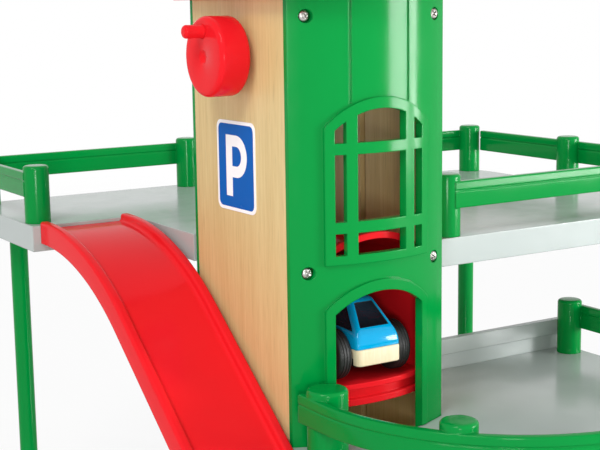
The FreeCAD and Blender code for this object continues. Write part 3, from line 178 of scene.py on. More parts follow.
def braid(name, colour):
    """White braided cord, whose strands cross each other round and along it, with painted shade darkening the
    gaps between the strands.
    """
    material, tree, shader, _ = empty_material(name)
    flat = add(tree, "ShaderNodeUVMap", uv_map="UVMap").outputs[0]
    waves = []
    for turn in (0.7, -0.7):
        strand = add(tree, "ShaderNodeMapping", {"Vector": flat, "Rotation": (0.0, 0.0, turn)}).outputs[0]
        wave = add(tree, "ShaderNodeTexWave", {"Vector": strand, "Scale": 9.0, "Distortion": 0.4})
        waves.append(wave.outputs[1])
    woven = add(tree, "ShaderNodeMath", {0: waves[0], 1: waves[1]}, operation="MAXIMUM").outputs[0]
    # Painted shade: the cord's colour falls to about half its brightness in the gaps between the crossing
    # strands.
    tree.links.new(mix(tree, woven, shade(colour, 0.55), shade(colour)), shader.inputs["Base Color"])
    bump = add(tree, "ShaderNodeBump", {"Distance": 0.1 * MM, "Height": woven}).outputs[0]
    tree.links.new(bump, shader.inputs["Normal"])
    shader.inputs["Roughness"].default_value = 0.8
    return material


# Meshes

def link(name, mesh, *materials, smooth=True):
    """A new object at the origin for a finished mesh, with its materials."""
    piece = bpy.data.objects.new(name, mesh)
    bpy.context.scene.collection.objects.link(piece)
    for material in materials:
        mesh.materials.append(material)
    mesh.polygons.foreach_set("use_smooth", [smooth] * len(mesh.polygons))
    return piece


def close(bm):
    """Merges a mesh's doubles and turns its faces outwards."""
    bmesh.ops.remove_doubles(bm, verts=bm.verts, dist=1e-6)
    bmesh.ops.recalc_face_normals(bm, faces=bm.faces)


def solid(name, bm, *finishes, smooth=True):
    """A new object for a mesh that was built up, with its finishes by name."""
    mesh = bpy.data.meshes.new(name)
    bm.to_mesh(mesh)
    bm.free()
    return link(name, mesh, *map(finish, finishes), smooth=smooth)


def walls(bm, first, second):
    """The four-sided faces that join two rings of as many points."""
    return [bm.faces.new((first[near], first[far], second[far], second[near]))
            for near, far in enumerate((*range(1, len(first)), 0))]


def bevel(bm, geom, width, segments, affect="EDGES", clamp=True):
    """Rounds edges or corners over a width."""
    bmesh.ops.bevel(bm, geom=geom, offset=width, offset_type="OFFSET", segments=segments, profile=0.5,
                    affect=affect, clamp_overlap=clamp)


def lathe(bm, profile, place, axis, steps):
    """A solid of revolution. The profile holds pairs of radius and length along the axis from place."""
    turn = Vector((0, 0, 1)).rotation_difference(Vector(axis)).to_matrix()
    rings = []
    for radius, along in profile:
        if radius < 1e-7:
            rings.append([bm.verts.new(Vector(place) + turn @ Vector((0, 0, along)))])
            continue
        rings.append([bm.verts.new(Vector(place) + turn @ Vector((radius * across, radius * up, along)))
                      for up, across in around(steps)])
    for lower, upper in zip(rings, rings[1:]):
        for step in range(steps):
            after = (step + 1) % steps
            corners = [lower[step % len(lower)], lower[after % len(lower)],
                       upper[after % len(upper)], upper[step % len(upper)]]
            distinct = list(dict.fromkeys(corners))
            if len(distinct) > 2:
                bm.faces.new(distinct)


def quarter(steps, first=0):
    """Angles from none to a quarter turn."""
    return [pi / 2 * step / steps for step in range(first, steps + 1)]


def around(steps, part=1.0):
    """Pairs of sine and cosine, round a full turn or the first part of one, with its end if it is a part."""
    count = steps if part == 1.0 else steps + 1
    return [(sin(2 * pi * part * step / steps), cos(2 * pi * part * step / steps))
            for step in range(count)]


def rounded(radius, along, edge, steps=5):
    """Profile points of a quarter-round rim that ends at a radius and a length."""
    return [(radius - edge + edge * cos(turn), along - edge + edge * sin(turn))
            for turn in quarter(steps)]


def top_corner(half, high, edge, steps):
    """Section points of a quarter-round upper edge, from its top to its side."""
    return [(half - edge + edge * sin(turn), high - edge + edge * cos(turn))
            for turn in quarter(steps)]


def turned(name, profile, place=(0, 0, 0), axis=(0, 0, 1), steps=56, *finishes):
    """A turned piece, from its profile."""
    bm = bmesh.new()
    lathe(bm, profile, place, axis, steps)
    close(bm)
    return solid(name, bm, *finishes)


def sharpen(piece, degrees=35.0):
    """Keeps a smooth piece's hard edges crisp."""
    bm = bmesh.new()
    bm.from_mesh(piece.data)
    for edge in bm.edges:
        if len(edge.link_faces) == 2 and edge.calc_face_angle(0.0) > radians(degrees):
            edge.smooth = False
    bm.to_mesh(piece.data)
    bm.free()


def applied(piece):
    """A piece's mesh with its modifiers applied."""
    view = bpy.context.evaluated_depsgraph_get()
    view.update()
    return bpy.data.meshes.new_from_object(piece.evaluated_get(view), depsgraph=view)


def cut_away(piece, tool):
    """Takes a closed tool off a closed piece, and removes the tool."""
    cutter = piece.modifiers.new("cut", "BOOLEAN")
    cutter.operation, cutter.solver, cutter.object, cutter.use_self = "DIFFERENCE", "EXACT", tool, True
    mesh = applied(piece)
    piece.modifiers.remove(cutter)
    piece.data = mesh
    bpy.data.objects.remove(tool)


# Geometry node trees

def geometry_tree(name):
    """A new geometry tree, its named inputs, and the shape that is given to it."""
    tree = bpy.data.node_groups.new(name, "GeometryNodeTree")
    for label, kind in (("Geometry", "Geometry"), ("Shape", "Object"), ("Finish", "Material")):
        tree.interface.new_socket(label, in_out="INPUT", socket_type="NodeSocket" + kind)
    tree.interface.new_socket("Geometry", in_out="OUTPUT", socket_type="NodeSocketGeometry")
    given = tree.nodes.new("NodeGroupInput").outputs
    return tree, given, add(tree, "GeometryNodeObjectInfo", {"Object": given["Shape"]}).outputs["Geometry"]


def dressed(tree, made, given):
    """Ends a geometry tree: real meshes with the given finish."""
    real = add(tree, "GeometryNodeRealizeInstances", {"Geometry": made}).outputs[0]
    coated = add(tree, "GeometryNodeSetMaterial", {"Geometry": real, "Material": given["Finish"]}).outputs[0]
    tree.links.new(coated, tree.nodes.new("NodeGroupOutput").inputs["Geometry"])
    return tree


def scatter_tree():
    """Sets a copy of one shape on every point, turned by the points' own attribute."""
    tree, given, shape = geometry_tree("Repeated Piece")
    turn = add(tree, "GeometryNodeInputNamedAttribute", {"Name": "turn"}, data_type="FLOAT_VECTOR").outputs[0]
    copies = add(tree, "GeometryNodeInstanceOnPoints", {
        "Points": given["Geometry"], "Instance": shape, "Rotation": turn}).outputs[0]
    return dressed(tree, copies, given)


def sweep_tree():
    """Runs a section along a line that lies level or climbs, and closes both its ends."""
    tree, given, section = geometry_tree("Swept Piece")
    line = add(tree, "GeometryNodeSetCurveNormal", {"Curve": given["Geometry"]}).outputs[0]
    swept = add(tree, "GeometryNodeCurveToMesh", {"Curve": line, "Profile Curve": section,
                                                  "Fill Caps": True}).outputs[0]
    return dressed(tree, swept, given)


def bake(name, source, tree, shape, skin, angle=35.0):
    """The plain mesh piece that a geometry tree makes of a source object, which is then removed."""
    modifier = source.modifiers.new(name, "NODES")
    modifier.node_group = tree
    inputs = {"Shape": shape, "Finish": finish(skin)}
    for socket in tree.interface.items_tree:
        if socket.in_out == "INPUT" and socket.name in inputs:
            modifier[socket.identifier] = inputs[socket.name]
    mesh = applied(source)
    mesh.name = name
    bpy.data.objects.remove(source)
    piece = link(name, mesh)
    sharpen(piece, angle)
    return piece


def points_object(places, turns=()):
    """A mesh of loose points that carry a turn each, or none, for a tree that sets copies on them."""
    mesh = bpy.data.meshes.new("places")
    mesh.from_pydata([tuple(place) for place in places], [], [])
    attribute = mesh.attributes.new("turn", "FLOAT_VECTOR", "POINT")
    for number, turn in enumerate(turns):
        attribute.data[number].vector = turn
    return link("places", mesh)


def curve_object(name, points, closed=False):
    """A polyline of given points."""
    data = bpy.data.curves.new(name, "CURVE")
    data.dimensions = "3D"
    spline = data.splines.new("POLY")
    spline.points.add(len(points) - 1)
    for target, point in zip(spline.points, points):
        target.co = (*point, 1.0)
    spline.use_cyclic_u = closed
    curve = bpy.data.objects.new(name, data)
    bpy.context.scene.collection.objects.link(curve)
    return curve


def settle(piece, slot, *nodes):
    """Lets a piece stand for the nodes that it replaces and ride on their body. The slot is not used."""
    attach(piece, BODY_OF[nodes[0]])
    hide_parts(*nodes)


def centre(node):
    """The middle of a node's box."""
    return [(low + high) / 2 for low, high in zip(*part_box(node))]


# Settings

def colour(name, description, default):
    return FloatVectorProperty(name=name, description=description, subtype="COLOR", size=3,
                               min=0.0, max=1.0, default=default)


def length(name, description, millimetres):
    return FloatProperty(name=name, description=description, unit="LENGTH", min=0.0,
                         default=millimetres * MM)


def amount(name, description, default):
    return FloatProperty(name=name, description=description, min=0.0, default=default)


class GarageFinish(bpy.types.PropertyGroup):
    green: colour("Green plastic", "Covers, rails and columns", (0.0, 0.24, 0.04))
    red: colour("Red plastic", "Roof, ramp, lift and knob", (0.76, 0.012, 0.018))
    grey: colour("Grey plastic", "Decks, base and parapet", (0.42, 0.465, 0.45))
    black: colour("Black plastic", "Bushes, drum and the car's underside", (0.018, 0.018, 0.018))
    beech_light: colour("Beech, light", "Early wood of the tower's sides", (0.68, 0.53, 0.25))
    beech_dark: colour("Beech, dark", "Late wood of the tower's sides", (0.58, 0.42, 0.18))
    birch_light: colour("Birch, light", "Early wood of the bumper", (0.84, 0.74, 0.54))
    birch_dark: colour("Birch, dark", "Late wood of the bumper", (0.74, 0.6, 0.37))
    zinc: colour("Zinc", "Screws and axles", (0.5, 0.49, 0.46))
    cord: colour("Cord", "The lift's braided cord", (0.82, 0.8, 0.74))
    sign_blue: colour("Sign blue", "Field of the parking sign", (0.0, 0.1, 0.42))
    sign_white: colour("Sign white", "Border and letter of the parking sign", (0.9, 0.9, 0.9))
    car_blue: colour("Car blue", "Lacquer of the toy car", (0.0, 0.33, 0.62))
    glass: colour("Car windows", "Dark windows of the toy car", (0.012, 0.02, 0.03))
    hub: colour("Hubs", "Hubs of the toy car", (0.3, 0.012, 0.012))
    rubber: colour("Tyres", "Tyres of the toy car", (0.012, 0.012, 0.012))


class GarageScrews(bpy.types.PropertyGroup):
    head: length("Head", "Radius of a cover screw's head", 3.1)
    height: length("Height", "Height of a screw's head", 2.1)
    cross: length("Cross", "Length of the cross recess", 4.2)
    seat: length("Seat", "Distance of the heads' undersides from the tower's middle", 54.4)
    apart: length("Apart", "Half the distance between a cover's two rows", 41.0)
    roof_x: length("Roof x", "Distance of the roof's screws from its middle across", 44.0)
    roof_y: length("Roof y", "Distance of the roof's screws from its middle lengthways", 30.0)


class GarageRails(bpy.types.PropertyGroup):
    post_height: length("Post height", "Height of a post above its deck", 36.0)
    post_rim: length("Post rim", "Rounding of a post's rim", 2.0)
    low: length("Rail foot", "Height of a rail's lower edge above its deck", 16.5)
    high: length("Rail top", "Height of a rail's upper edge above its deck", 32.0)
    thick: length("Rail", "Thickness of a rail", 5.0)
    line: length("Line", "Width of the fine line along a rail", 1.2)
    drop: length("Line drop", "Distance of the fine line below the rail's top", 5.4)


class GarageRamp(bpy.types.PropertyGroup):
    crest: length("Crest", "Radius of the ramp's crest", 175.0)
    foot: length("Foot", "Radius of the ramp's foot", 60.0)
    slope: FloatProperty(name="Slope", description="Fall of the ramp's straight part", subtype="ANGLE",
                         default=radians(37.6))
    curb: length("Curb", "Width of a curb", 6.0)
    rise: length("Curb rise", "Height of a curb over the road", 4.5)


class GarageWinch(bpy.types.PropertyGroup):
    knob: length("Knob", "Radius of the knob", 21.5)
    handle: length("Handle", "Radius of the handle", 3.6)
    turns: IntProperty(name="Turns", description="Turns of cord on the drum", min=1, default=4)
    cord: length("Cord", "Radius of the cord", 0.9)


class GarageSign(bpy.types.PropertyGroup):
    border: length("Border", "Width of the white border", 1.9)
    corner: length("Corner", "Radius of the plate's corners", 4.5)
    stem: length("Stem", "Width of the letter's stem", 6.9)
    letter: length("Letter", "Height of the letter", 34.0)
    bowl: length("Bowl", "Height of the letter's bowl", 23.3)
    stroke: length("Stroke", "Width of the bowl's stroke", 6.2)
    shoulder: length("Shoulder", "Length of the letter up to its bowl's round", 11.4)
    inset: length("Inset", "Distance of the letter from the plate's left edge", 10.4)
    base: length("Base", "Distance of the letter from the plate's lower edge", 8.0)


class GarageCar(bpy.types.PropertyGroup):
    window_depth: length("Window depth", "How far the windows lie in the body", 0.3)
    tyre_edge: length("Tyre edge", "Rounding of a tyre's shoulders", 2.6)
    seal: length("Seal", "Width of the windows' seals", 0.4)


class GarageStage(bpy.types.PropertyGroup):
    lens: amount("Lens", "Focal length in millimetres", 79.0)
    daylight: amount("Daylight", "Strength of the even light", 0.55)
    key: amount("Key", "Power of the main lamp in watts", 29.0)
    fill: amount("Fill", "Power of the wide side lamp in watts", 15.0)
    strip: amount("Strip", "Power of the narrow side lamp in watts", 6.5)
    low: amount("Low", "Power of the lamp before the doorways in watts", 8.5)


SETTINGS = {"garage_finish": GarageFinish, "garage_screws": GarageScrews, "garage_rails": GarageRails,
            "garage_ramp": GarageRamp, "garage_winch": GarageWinch, "garage_sign": GarageSign,
            "garage_car": GarageCar, "garage_stage": GarageStage}

MAKERS = {
    "green_moulding": lambda name, s: moulded(name, s.green, gloss=0.12),
    "red_moulding": lambda name, s: moulded(name, s.red, gloss=0.07),
    "grey_moulding": lambda name, s: moulded(name, s.grey, roughness=0.18, gloss=0.4),
    "black_moulding": lambda name, s: moulded(name, s.black, roughness=0.35, gloss=0.3),
    "beech": lambda name, s: timber(name, s.beech_light, s.beech_dark, (1.0, 1.0, 0.03)),
    "birch": lambda name, s: timber(name, s.birch_light, s.birch_dark, (1.0, 1.0, 0.06), 0.5, 0.5 * MM, 1.6),
    "zinc": lambda name, s: plated(name, s.zinc),
    "cord_braid": lambda name, s: braid(name, s.cord),
    "sign_blue": lambda name, s: moulded(name, s.sign_blue, 0.22, 0.2 * MM, 0.003 * MM, 0.05),
    "sign_white": lambda name, s: moulded(name, s.sign_white, 0.22, 0.2 * MM, 0.003 * MM, 0.05),
    "car_lacquer": lambda name, s: moulded(name, s.car_blue, 0.1, 0.5 * MM, 0.01 * MM, 0.3),
    "car_window": lambda name, s: moulded(name, s.glass, 0.08, 0.2 * MM, 0.005 * MM, 0.5),
    "hub_moulding": lambda name, s: moulded(name, s.hub, 0.25, 0.3 * MM),
    "tyre_black": lambda name, s: tyre_rubber(name, s.rubber),
}


def finish(name):
    """The material of that name, which is made from the settings the first time it is asked for."""
    return bpy.data.materials.get(name) or MAKERS[name](name, bpy.context.scene.garage_finish)


KEPT = {
    "green_moulding": ("front_cover", "back_cover"),
    "red_moulding": ("roof_cap", "lift_cabin", "cord_anchor"),
    "grey_moulding": ("deck_lower", "deck_upper", "ground_plate", "parapet"),
    "black_moulding": ("cord_drum", "bush_left", "bush_right", "car_chassis"),
    "beech": ("side_panel_left", "side_panel_right"),
    "zinc": ("winch_axle", "car_front_axle", "car_rear_axle"),
}


class GARAGE_OT_dress_shells(bpy.types.Operator):
    """Gives the shells, decks, wood sides and plain inner parts of the frame their finishes"""
    bl_idname = "garage.dress_shells"
    bl_label = "Dress shells"

    def execute(self, context):
        for name, nodes in KEPT.items():
            for node in nodes:
                slots = NODES[node].data.materials
                slots.clear()
                slots.append(finish(name))
        return {"FINISHED"}


def screw_head(name, radius, height, cross):
    """A pan head with a cross recess, that stands on the origin and looks up."""
    brim, rise = 0.3 * height, 0.7 * height
    profile = [(0.0, 0.0), (radius, 0.0), (radius, brim)]
    profile += [(radius * cos(turn), brim + rise * sin(turn)) for turn in quarter(8, 1)]
    profile[-1] = (0.0, height)
    head = turned(name, profile, steps=40)
    bm = bmesh.new()
    wide, deep, over = 0.28 * cross / 2, 1.3 * MM, 0.4 * MM
    for along, across in ((cross / 2, wide), (wide, cross / 2)):
        low, high = ([bm.verts.new((x * across * share_x, y * along * share_y, z))
                      for x, y in ((-1, -1), (1, -1), (1, 1), (-1, 1))]
                     for share_x, share_y, z in ((0.5, 0.6, height - deep), (1.2, 1.1, height + over)))
        bm.faces.new(low[::-1])
        bm.faces.new(high)
        walls(bm, low, high)
    cut_away(head, solid(name + "_tool", bm))
    return head


class GARAGE_OT_make_screws(bpy.types.Operator):
    """Sets a cross-head screw in each recess of the two covers and the roof"""
    bl_idname = "garage.make_screws"
    bl_label = "Make screws"

    def execute(self, context):
        sizes = context.scene.garage_screws
        tree = scatter_tree()
        shape = screw_head("screw", sizes.head, sizes.height, sizes.cross)
        rows = (("front_cover_screws", -1, (24, 92, 210, 343)), ("back_cover_screws", 1, (24, 92, 188, 343)))
        for node, side, heights in rows:
            places, turns = [], []
            for number, height in enumerate(heights):
                for hand in (-1, 1):
                    places.append((hand * sizes.apart, side * sizes.seat, height * MM))
                    turns.append((-side * pi / 2, 0.7 + 1.9 * number + 0.8 * hand, 0.0))
            piece = bake(node + "_heads", points_object(places, turns), tree, shape, "zinc")
            settle(piece, "zinc_steel", node)
        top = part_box("roof_screws")[1].z - sizes.height
        places = [(x * sizes.roof_x, y * sizes.roof_y, top) for x in (-1, 1) for y in (-1, 1)]
        turns = [(0.0, 0.0, 0.4 + 1.3 * number) for number in range(4)]
        piece = bake("roof_screw_heads", points_object(places, turns), tree, shape, "zinc")
        settle(piece, "zinc_steel", "roof_screws")
        bpy.data.objects.remove(shape)
        return {"FINISHED"}


# Each railing: its deck's height, its posts as x, y and radius, and the corners or arc of its rail, in mm
CURVE = [(67.5 - 117 * cos(radians(turn)), -82.5 - 117 * sin(radians(turn)))
         for turn in range(0, 91, 3)]
RAILINGS = {
    "railing_front_lower": (116, ((-40.5, -72.5, 11), (-17.12, -152, 9.5), (67.5, -193.5, 8),
                                  (206, -193.5, 8)),
                            [(-49.5, -62), *CURVE, (206, -199.5)]),
    "railing_side_lower": (116, ((206, -72.5, 8), (206, 8.5, 8)), [(212, -184.5), (212, 8.5)]),
    "railing_rear_left": (216, ((-109, 246.5, 8), (44, 246.5, 8), (101, 246.5, 8)),
                          [(-109, 252.5), (101, 252.5)]),
    "railing_rear_right": (216, ((116, 188.5, 8), (266, 188.5, 8)), [(116, 194.5), (266, 194.5)]),
    "railing_front_upper": (216, ((67, -35, 8), (266, -35, 8)), [(67, -41), (266, -41)]),
    "railing_end_upper": (216, ((266, 76.75, 8),), [(272, -26), (272, 179.5)]),
    "railing_left_upper": (216, ((-109, 153.5, 8),), [(-115, 153.5), (-115, 237.5)]),
}


def post_shape(radius, sizes):
    """A turned post with a rounded rim, on the origin."""
    rim = rounded(radius, sizes.post_height, sizes.post_rim)
    return turned("post", [(0.0, 0.0), (radius, 0.0), *rim, (0.0, sizes.post_height)])


def rail_section(sizes):
    """The rail's section: an upright bar with rounded edges and a fine line along both faces."""
    half, edge, deep = sizes.thick / 2, 1.0 * MM, 0.5 * MM
    corner = top_corner(half, sizes.high, edge, 4)
    groove = [(half, sizes.line / 2 + 0.15 * MM), (half - deep, sizes.line / 4)]
    middle = sizes.high - sizes.drop
    right = corner + [(x, middle + y) for x, y in groove] + [(x, middle - y) for x, y in reversed(groove)]
    right += [(x, sizes.low + sizes.high - y) for x, y in reversed(corner)]
    ring = right + [(-x, y) for x, y in reversed(right)]
    return curve_object("section", [(x, -y, 0.0) for x, y in ring], closed=True)


def join(name, pieces):
    """One piece made of several."""
    first, *others = pieces
    with bpy.context.temp_override(active_object=first, object=first, selected_objects=pieces,
                                   selected_editable_objects=pieces):
        bpy.ops.object.join()
    first.name = first.data.name = name
    return first


class GARAGE_OT_make_railings(bpy.types.Operator):
    """Makes each railing: its turned posts, and the rail that runs along their outer side"""
    bl_idname = "garage.make_railings"
    bl_label = "Make railings"

    def execute(self, context):
        sizes = context.scene.garage_rails
        posts, sweep = scatter_tree(), sweep_tree()
        section = rail_section(sizes)
        shapes = {radius: post_shape(radius * MM, sizes) for radius in (8, 9.5, 11)}
        for node, (floor, places, line) in RAILINGS.items():
            path = curve_object("line", [(x * MM, y * MM, floor * MM) for x, y in line])
            made = [bake("rail", path, sweep, section, "green_moulding")]
            for radius, shape in shapes.items():
                spots = [(x * MM, y * MM, floor * MM) for x, y, own in places if own == radius]
                if spots:
                    made.append(bake("posts", points_object(spots), posts, shape, "green_moulding"))
            settle(join(node + "_turned", made), "green_plastic", node)
        for shape in (section, *shapes.values()):
            bpy.data.objects.remove(shape)
        return {"FINISHED"}


class GARAGE_OT_make_columns(bpy.types.Operator):
    """Sets the columns under the two decks"""
    bl_idname = "garage.make_columns"
    bl_label = "Make columns"

    def execute(self, context):
        tree = scatter_tree()
        for level, count in (("lower", 3), ("upper", 4)):
            nodes = [f"column_{level}_{number + 1}" for number in range(count)]
            boxes = [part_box(node) for node in nodes]
            low, high = boxes[0]
            foot, stem, disc, tall = (high.x - low.x) / 2, 6.0 * MM, 4.0 * MM, high.z - low.z
            neck = [(foot - 1.2 * MM, disc), (stem + 3.0 * MM, disc + 0.8 * MM),
                    (stem + 0.8 * MM, disc + 3.0 * MM), (stem, disc + 6.0 * MM)]
            lower = [(0.0, 0.0), (foot - 0.6 * MM, 0.0), (foot, 0.6 * MM), (foot, disc - 1.0 * MM), *neck]
            shape = turned("column", lower + [(radius, tall - along) for radius, along in reversed(lower)],
                           steps=48)
            spots = [((low.x + high.x) / 2, (low.y + high.y) / 2, low.z) for low, high in boxes]
            piece = bake(f"columns_{level}", points_object(spots), tree, shape, "green_moulding")
            bpy.data.objects.remove(shape)
            settle(piece, "column_plastic", *nodes)
        return {"FINISHED"}


def ramp_line(sizes):
    """Points of the ramp's road line, from the upper deck to its foot, in the plane across x."""
    low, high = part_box("ramp")
    top, bottom, crest_start = 214.0 * MM, 19.0 * MM, 132.5 * MM
    drop = top - bottom - (sizes.crest + sizes.foot) * (1 - cos(sizes.slope))
    straight = drop / sin(sizes.slope)
    points = [(high.y, top), (crest_start, top)]
    for step in range(1, 25):
        turn = sizes.slope * step / 24
        points.append((crest_start - sizes.crest * sin(turn), top - sizes.crest * (1 - cos(turn))))
    y = points[-1][0] - straight * cos(sizes.slope)
    z = points[-1][1] - straight * sin(sizes.slope)
    middle_y, middle_z = y - sizes.foot * sin(sizes.slope), z + sizes.foot * cos(sizes.slope)
    for step in range(17):
        turn = sizes.slope * (1 - step / 16)
        points.append((middle_y + sizes.foot * sin(turn), middle_z - sizes.foot * cos(turn)))
    points.append((low.y, bottom))
    return points


class GARAGE_OT_make_ramp(bpy.types.Operator):
    """Sweeps the ramp's road and its two rounded curbs along its line, and cuts it level at the base"""
    bl_idname = "garage.make_ramp"
    bl_label = "Make ramp"

    def execute(self, context):
        sizes = context.scene.garage_ramp
        low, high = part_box("ramp")
        middle, half = (low.x + high.x) / 2, (high.x - low.x) / 2
        curb, road, drop = sizes.curb, 3.0 * MM, 9.0 * MM
        dome = top_corner(half, sizes.rise, 1.8 * MM, 5)
        inner = [(2 * half - curb - x, y) for x, y in reversed(dome)]
        side = half - curb
        foot = [(side - 3 * MM, 0.0), (side - 1.5 * MM, 0.0), (side - 0.5 * MM, 0.4 * MM), (side, 1.4 * MM)]
        right = [*foot, *inner, *dome, (half, -drop), (side, -drop), (side, -road)]
        ring = right[::-1] + [(-x, y) for x, y in right]
        section = curve_object("section", [(x, -y, 0.0) for x, y in ring[::-1]], closed=True)
        path = curve_object("line", [(middle, y, z) for y, z in ramp_line(sizes)])
        piece = bake("ramp_road", path, sweep_tree(), section, "red_moulding", 50.0)
        bpy.data.objects.remove(section)
        bm = bmesh.new()
        bm.from_mesh(piece.data)
        cut = bmesh.ops.bisect_plane(bm, geom=bm.verts[:] + bm.edges[:] + bm.faces[:], dist=1e-6,
                                     plane_co=(0, 0, low.z), plane_no=(0, 0, 1), clear_inner=True)
        bmesh.ops.holes_fill(bm, edges=[item for item in cut["geom_cut"]
                                        if isinstance(item, bmesh.types.BMEdge)])
        close(bm)
        bm.to_mesh(piece.data)
        bm.free()
        settle(piece, "red_plastic", "ramp")
        return {"FINISHED"}


def flat_shape(bm, faces, low, high, material):
    """Solid letters or plates on the tower's left side, from flat faces of pairs of reach and height."""
    made = []
    spots = {}
    for face in faces:
        corners = []
        for corner in face:
            key = (round(corner[0], 7), round(corner[1], 7))
            if key not in spots:
                spots[key] = bm.verts.new((high, -corner[0], corner[1]))
            corners.append(spots[key])
        made.append(bm.faces.new(corners))
        made[-1].material_index = material
    pulled = bmesh.ops.extrude_face_region(bm, geom=made)["geom"]
    for item in pulled:
        if isinstance(item, bmesh.types.BMVert):
            item.co.x = low
        elif isinstance(item, bmesh.types.BMFace):
            item.material_index = material
    for face in bm.faces:
        if all(vertex.co.x in (low, high) for vertex in face.verts):
            face.material_index = material


def rounded_plate(left, right, low, high, radius, steps=8):
    """The outline of a flat plate with rounded corners."""
    points = []
    near, far, foot, head = left + radius, right - radius, low + radius, high - radius
    for middle_x, middle_z, start in ((far, head, 0), (near, head, 90), (near, foot, 180), (far, foot, 270)):
        for step in range(steps + 1):
            turn = radians(start + 90 * step / steps)
            points.append((middle_x + radius * cos(turn), middle_z + radius * sin(turn)))
    return points


class GARAGE_OT_make_sign(bpy.types.Operator):
    """Makes the parking sign: a white plate, its blue field and a plain letter P"""
    bl_idname = "garage.make_sign"
    bl_label = "Make sign"

    def execute(self, context):
        sizes = context.scene.garage_sign
        low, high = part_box("parking_sign")
        left, right = -high.y, -low.y
        back, border = high.x, sizes.border
        layers = [back - 0.38 * MM, back - 0.44 * MM, low.x]
        bm = bmesh.new()
        flat_shape(bm, [rounded_plate(left, right, low.z, high.z, sizes.corner)], back, layers[0], 0)
        flat_shape(bm, [rounded_plate(left + border, right - border, low.z + border, high.z - border,
                                      sizes.corner - border / 2)], layers[0], layers[1], 1)
        stem, base = left + sizes.inset, low.z + sizes.base
        top, bowl, stroke = base + sizes.letter, sizes.bowl / 2, sizes.stroke
        inside, outside = stem + sizes.stem, stem + sizes.shoulder
        outer, inner = ([(outside + reach * across, top - bowl + reach * up)
                         for across, up in around(24, 0.5)] for reach in (bowl, bowl - stroke))
        faces = [(inner[step], outer[step], outer[step + 1], inner[step + 1]) for step in range(24)]
        faces += [((inside, top - stroke), (inside, top), outer[0], inner[0]),
                  (inner[-1], outer[-1], (inside, top - 2 * bowl), (inside, top - 2 * bowl + stroke)),
                  ((stem, base), (inside, base), (inside, top - 2 * bowl), (inside, top - 2 * bowl + stroke),
                   (inside, top - stroke), (inside, top), (stem, top))]
        flat_shape(bm, faces, layers[1], layers[2], 0)
        bmesh.ops.recalc_face_normals(bm, faces=bm.faces)
        piece = solid("sign_plate", bm, "sign_white", "sign_blue", smooth=False)
        settle(piece, "sign_vinyl", "parking_sign")
        return {"FINISHED"}


class GARAGE_OT_make_winch(bpy.types.Operator):
    """Makes the winch's knob with its turned handle, and the cord's turns on the drum"""
    bl_idname = "garage.make_winch"
    bl_label = "Make winch"

    def execute(self, context):
        sizes = context.scene.garage_winch
        low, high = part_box("crank_knob")
        middle, thick, radius = centre("crank_knob")[1:], high.x - low.x, sizes.knob
        back = [(radius - 3.0 * MM, 0.0), (radius - 1.2 * MM, 0.5 * MM), (radius - 0.3 * MM, 1.6 * MM),
                (radius, 3.0 * MM)]
        dimple = [(4.2 * MM, thick), (3.6 * MM, thick - 0.25 * MM), (3.0 * MM, thick - 1.0 * MM),
                  (2.0 * MM, thick - 1.8 * MM), (0.0, thick - 2.1 * MM)]
        knob = turned("knob_turned", [(0.0, 0.0), *back, *rounded(radius, thick, 3.0 * MM, 9), *dimple],
                      (high.x, *middle), (-1, 0, 0), 96, "red_moulding")
        settle(knob, "red_plastic", "crank_knob")
        reach = low.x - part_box("crank_handle")[0].x
        own, peg = sizes.handle, sizes.handle - 1.0 * MM
        handle = turned("handle_turned", [
            (0.0, -4.0 * MM), (peg, -4.0 * MM), (peg, 0.0), (own + 0.5 * MM, 0.0), (own + 0.1 * MM, 0.5 * MM),
            (own - 0.1 * MM, 1.2 * MM), *rounded(own, reach, 1.8 * MM, 7), (0.0, reach)],
            (low.x, *centre("crank_handle")[1:]), (-1, 0, 0), 48, "red_moulding")
        settle(handle, "red_plastic", "crank_handle")
        low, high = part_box("cord_winding")
        reach, ring = (high.z - low.z) / 2 - sizes.cord, around(36)
        steps = len(ring) * sizes.turns
        start, pitch = low.x + sizes.cord, (high.x - low.x - 2 * sizes.cord) / steps
        line = [(start + pitch * step, middle[0] + reach * ring[step % 36][1],
                 middle[1] + reach * ring[step % 36][0]) for step in range(steps + 1)]
        circle = [(sizes.cord * across, sizes.cord * up, 0.0) for up, across in around(12)]
        section = curve_object("section", circle, closed=True)
        turns = bake("winding_turns", curve_object("line", line), sweep_tree(), section, "cord_braid", 80.0)
        bpy.data.objects.remove(section)
        turns.data.uv_layers.new(name="UVMap")
        settle(turns, "white_cord", "cord_winding")
        return {"FINISHED"}


class GARAGE_OT_make_cord(bpy.types.Operator):
    """Makes the lift's braided cord between the lift and the drum"""
    bl_idname = "garage.make_cord"
    bl_label = "Make cord"

    def execute(self, context):
        low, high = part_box("lift_cord")
        middle, radius = (low + high) / 2, (high.x - low.x) / 2
        rings, sides = 40, 16
        bm = bmesh.new()
        layer = bm.loops.layers.uv.new("UVMap")
        levels = [[bm.verts.new((middle.x + radius * across, middle.y + radius * up,
                                 low.z + (high.z - low.z) * level / rings)) for up, across in around(sides)]
                  for level in range(rings + 1)]
        for level, (lower, upper) in enumerate(zip(levels, levels[1:])):
            for step, face in enumerate(walls(bm, lower, upper)):
                for loop, (u, v) in zip(face.loops, ((0, 0), (1, 0), (1, 1), (0, 1))):
                    loop[layer].uv = ((step + u) / sides, (level + v) / rings * 8)
        bm.faces.new(levels[0][::-1])
        bm.faces.new(levels[-1])
        piece = solid("lift_cord_braided", bm, "cord_braid")
        sharpen(piece, 60.0)
        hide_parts("lift_cord")
        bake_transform(piece)
        return {"FINISHED"}


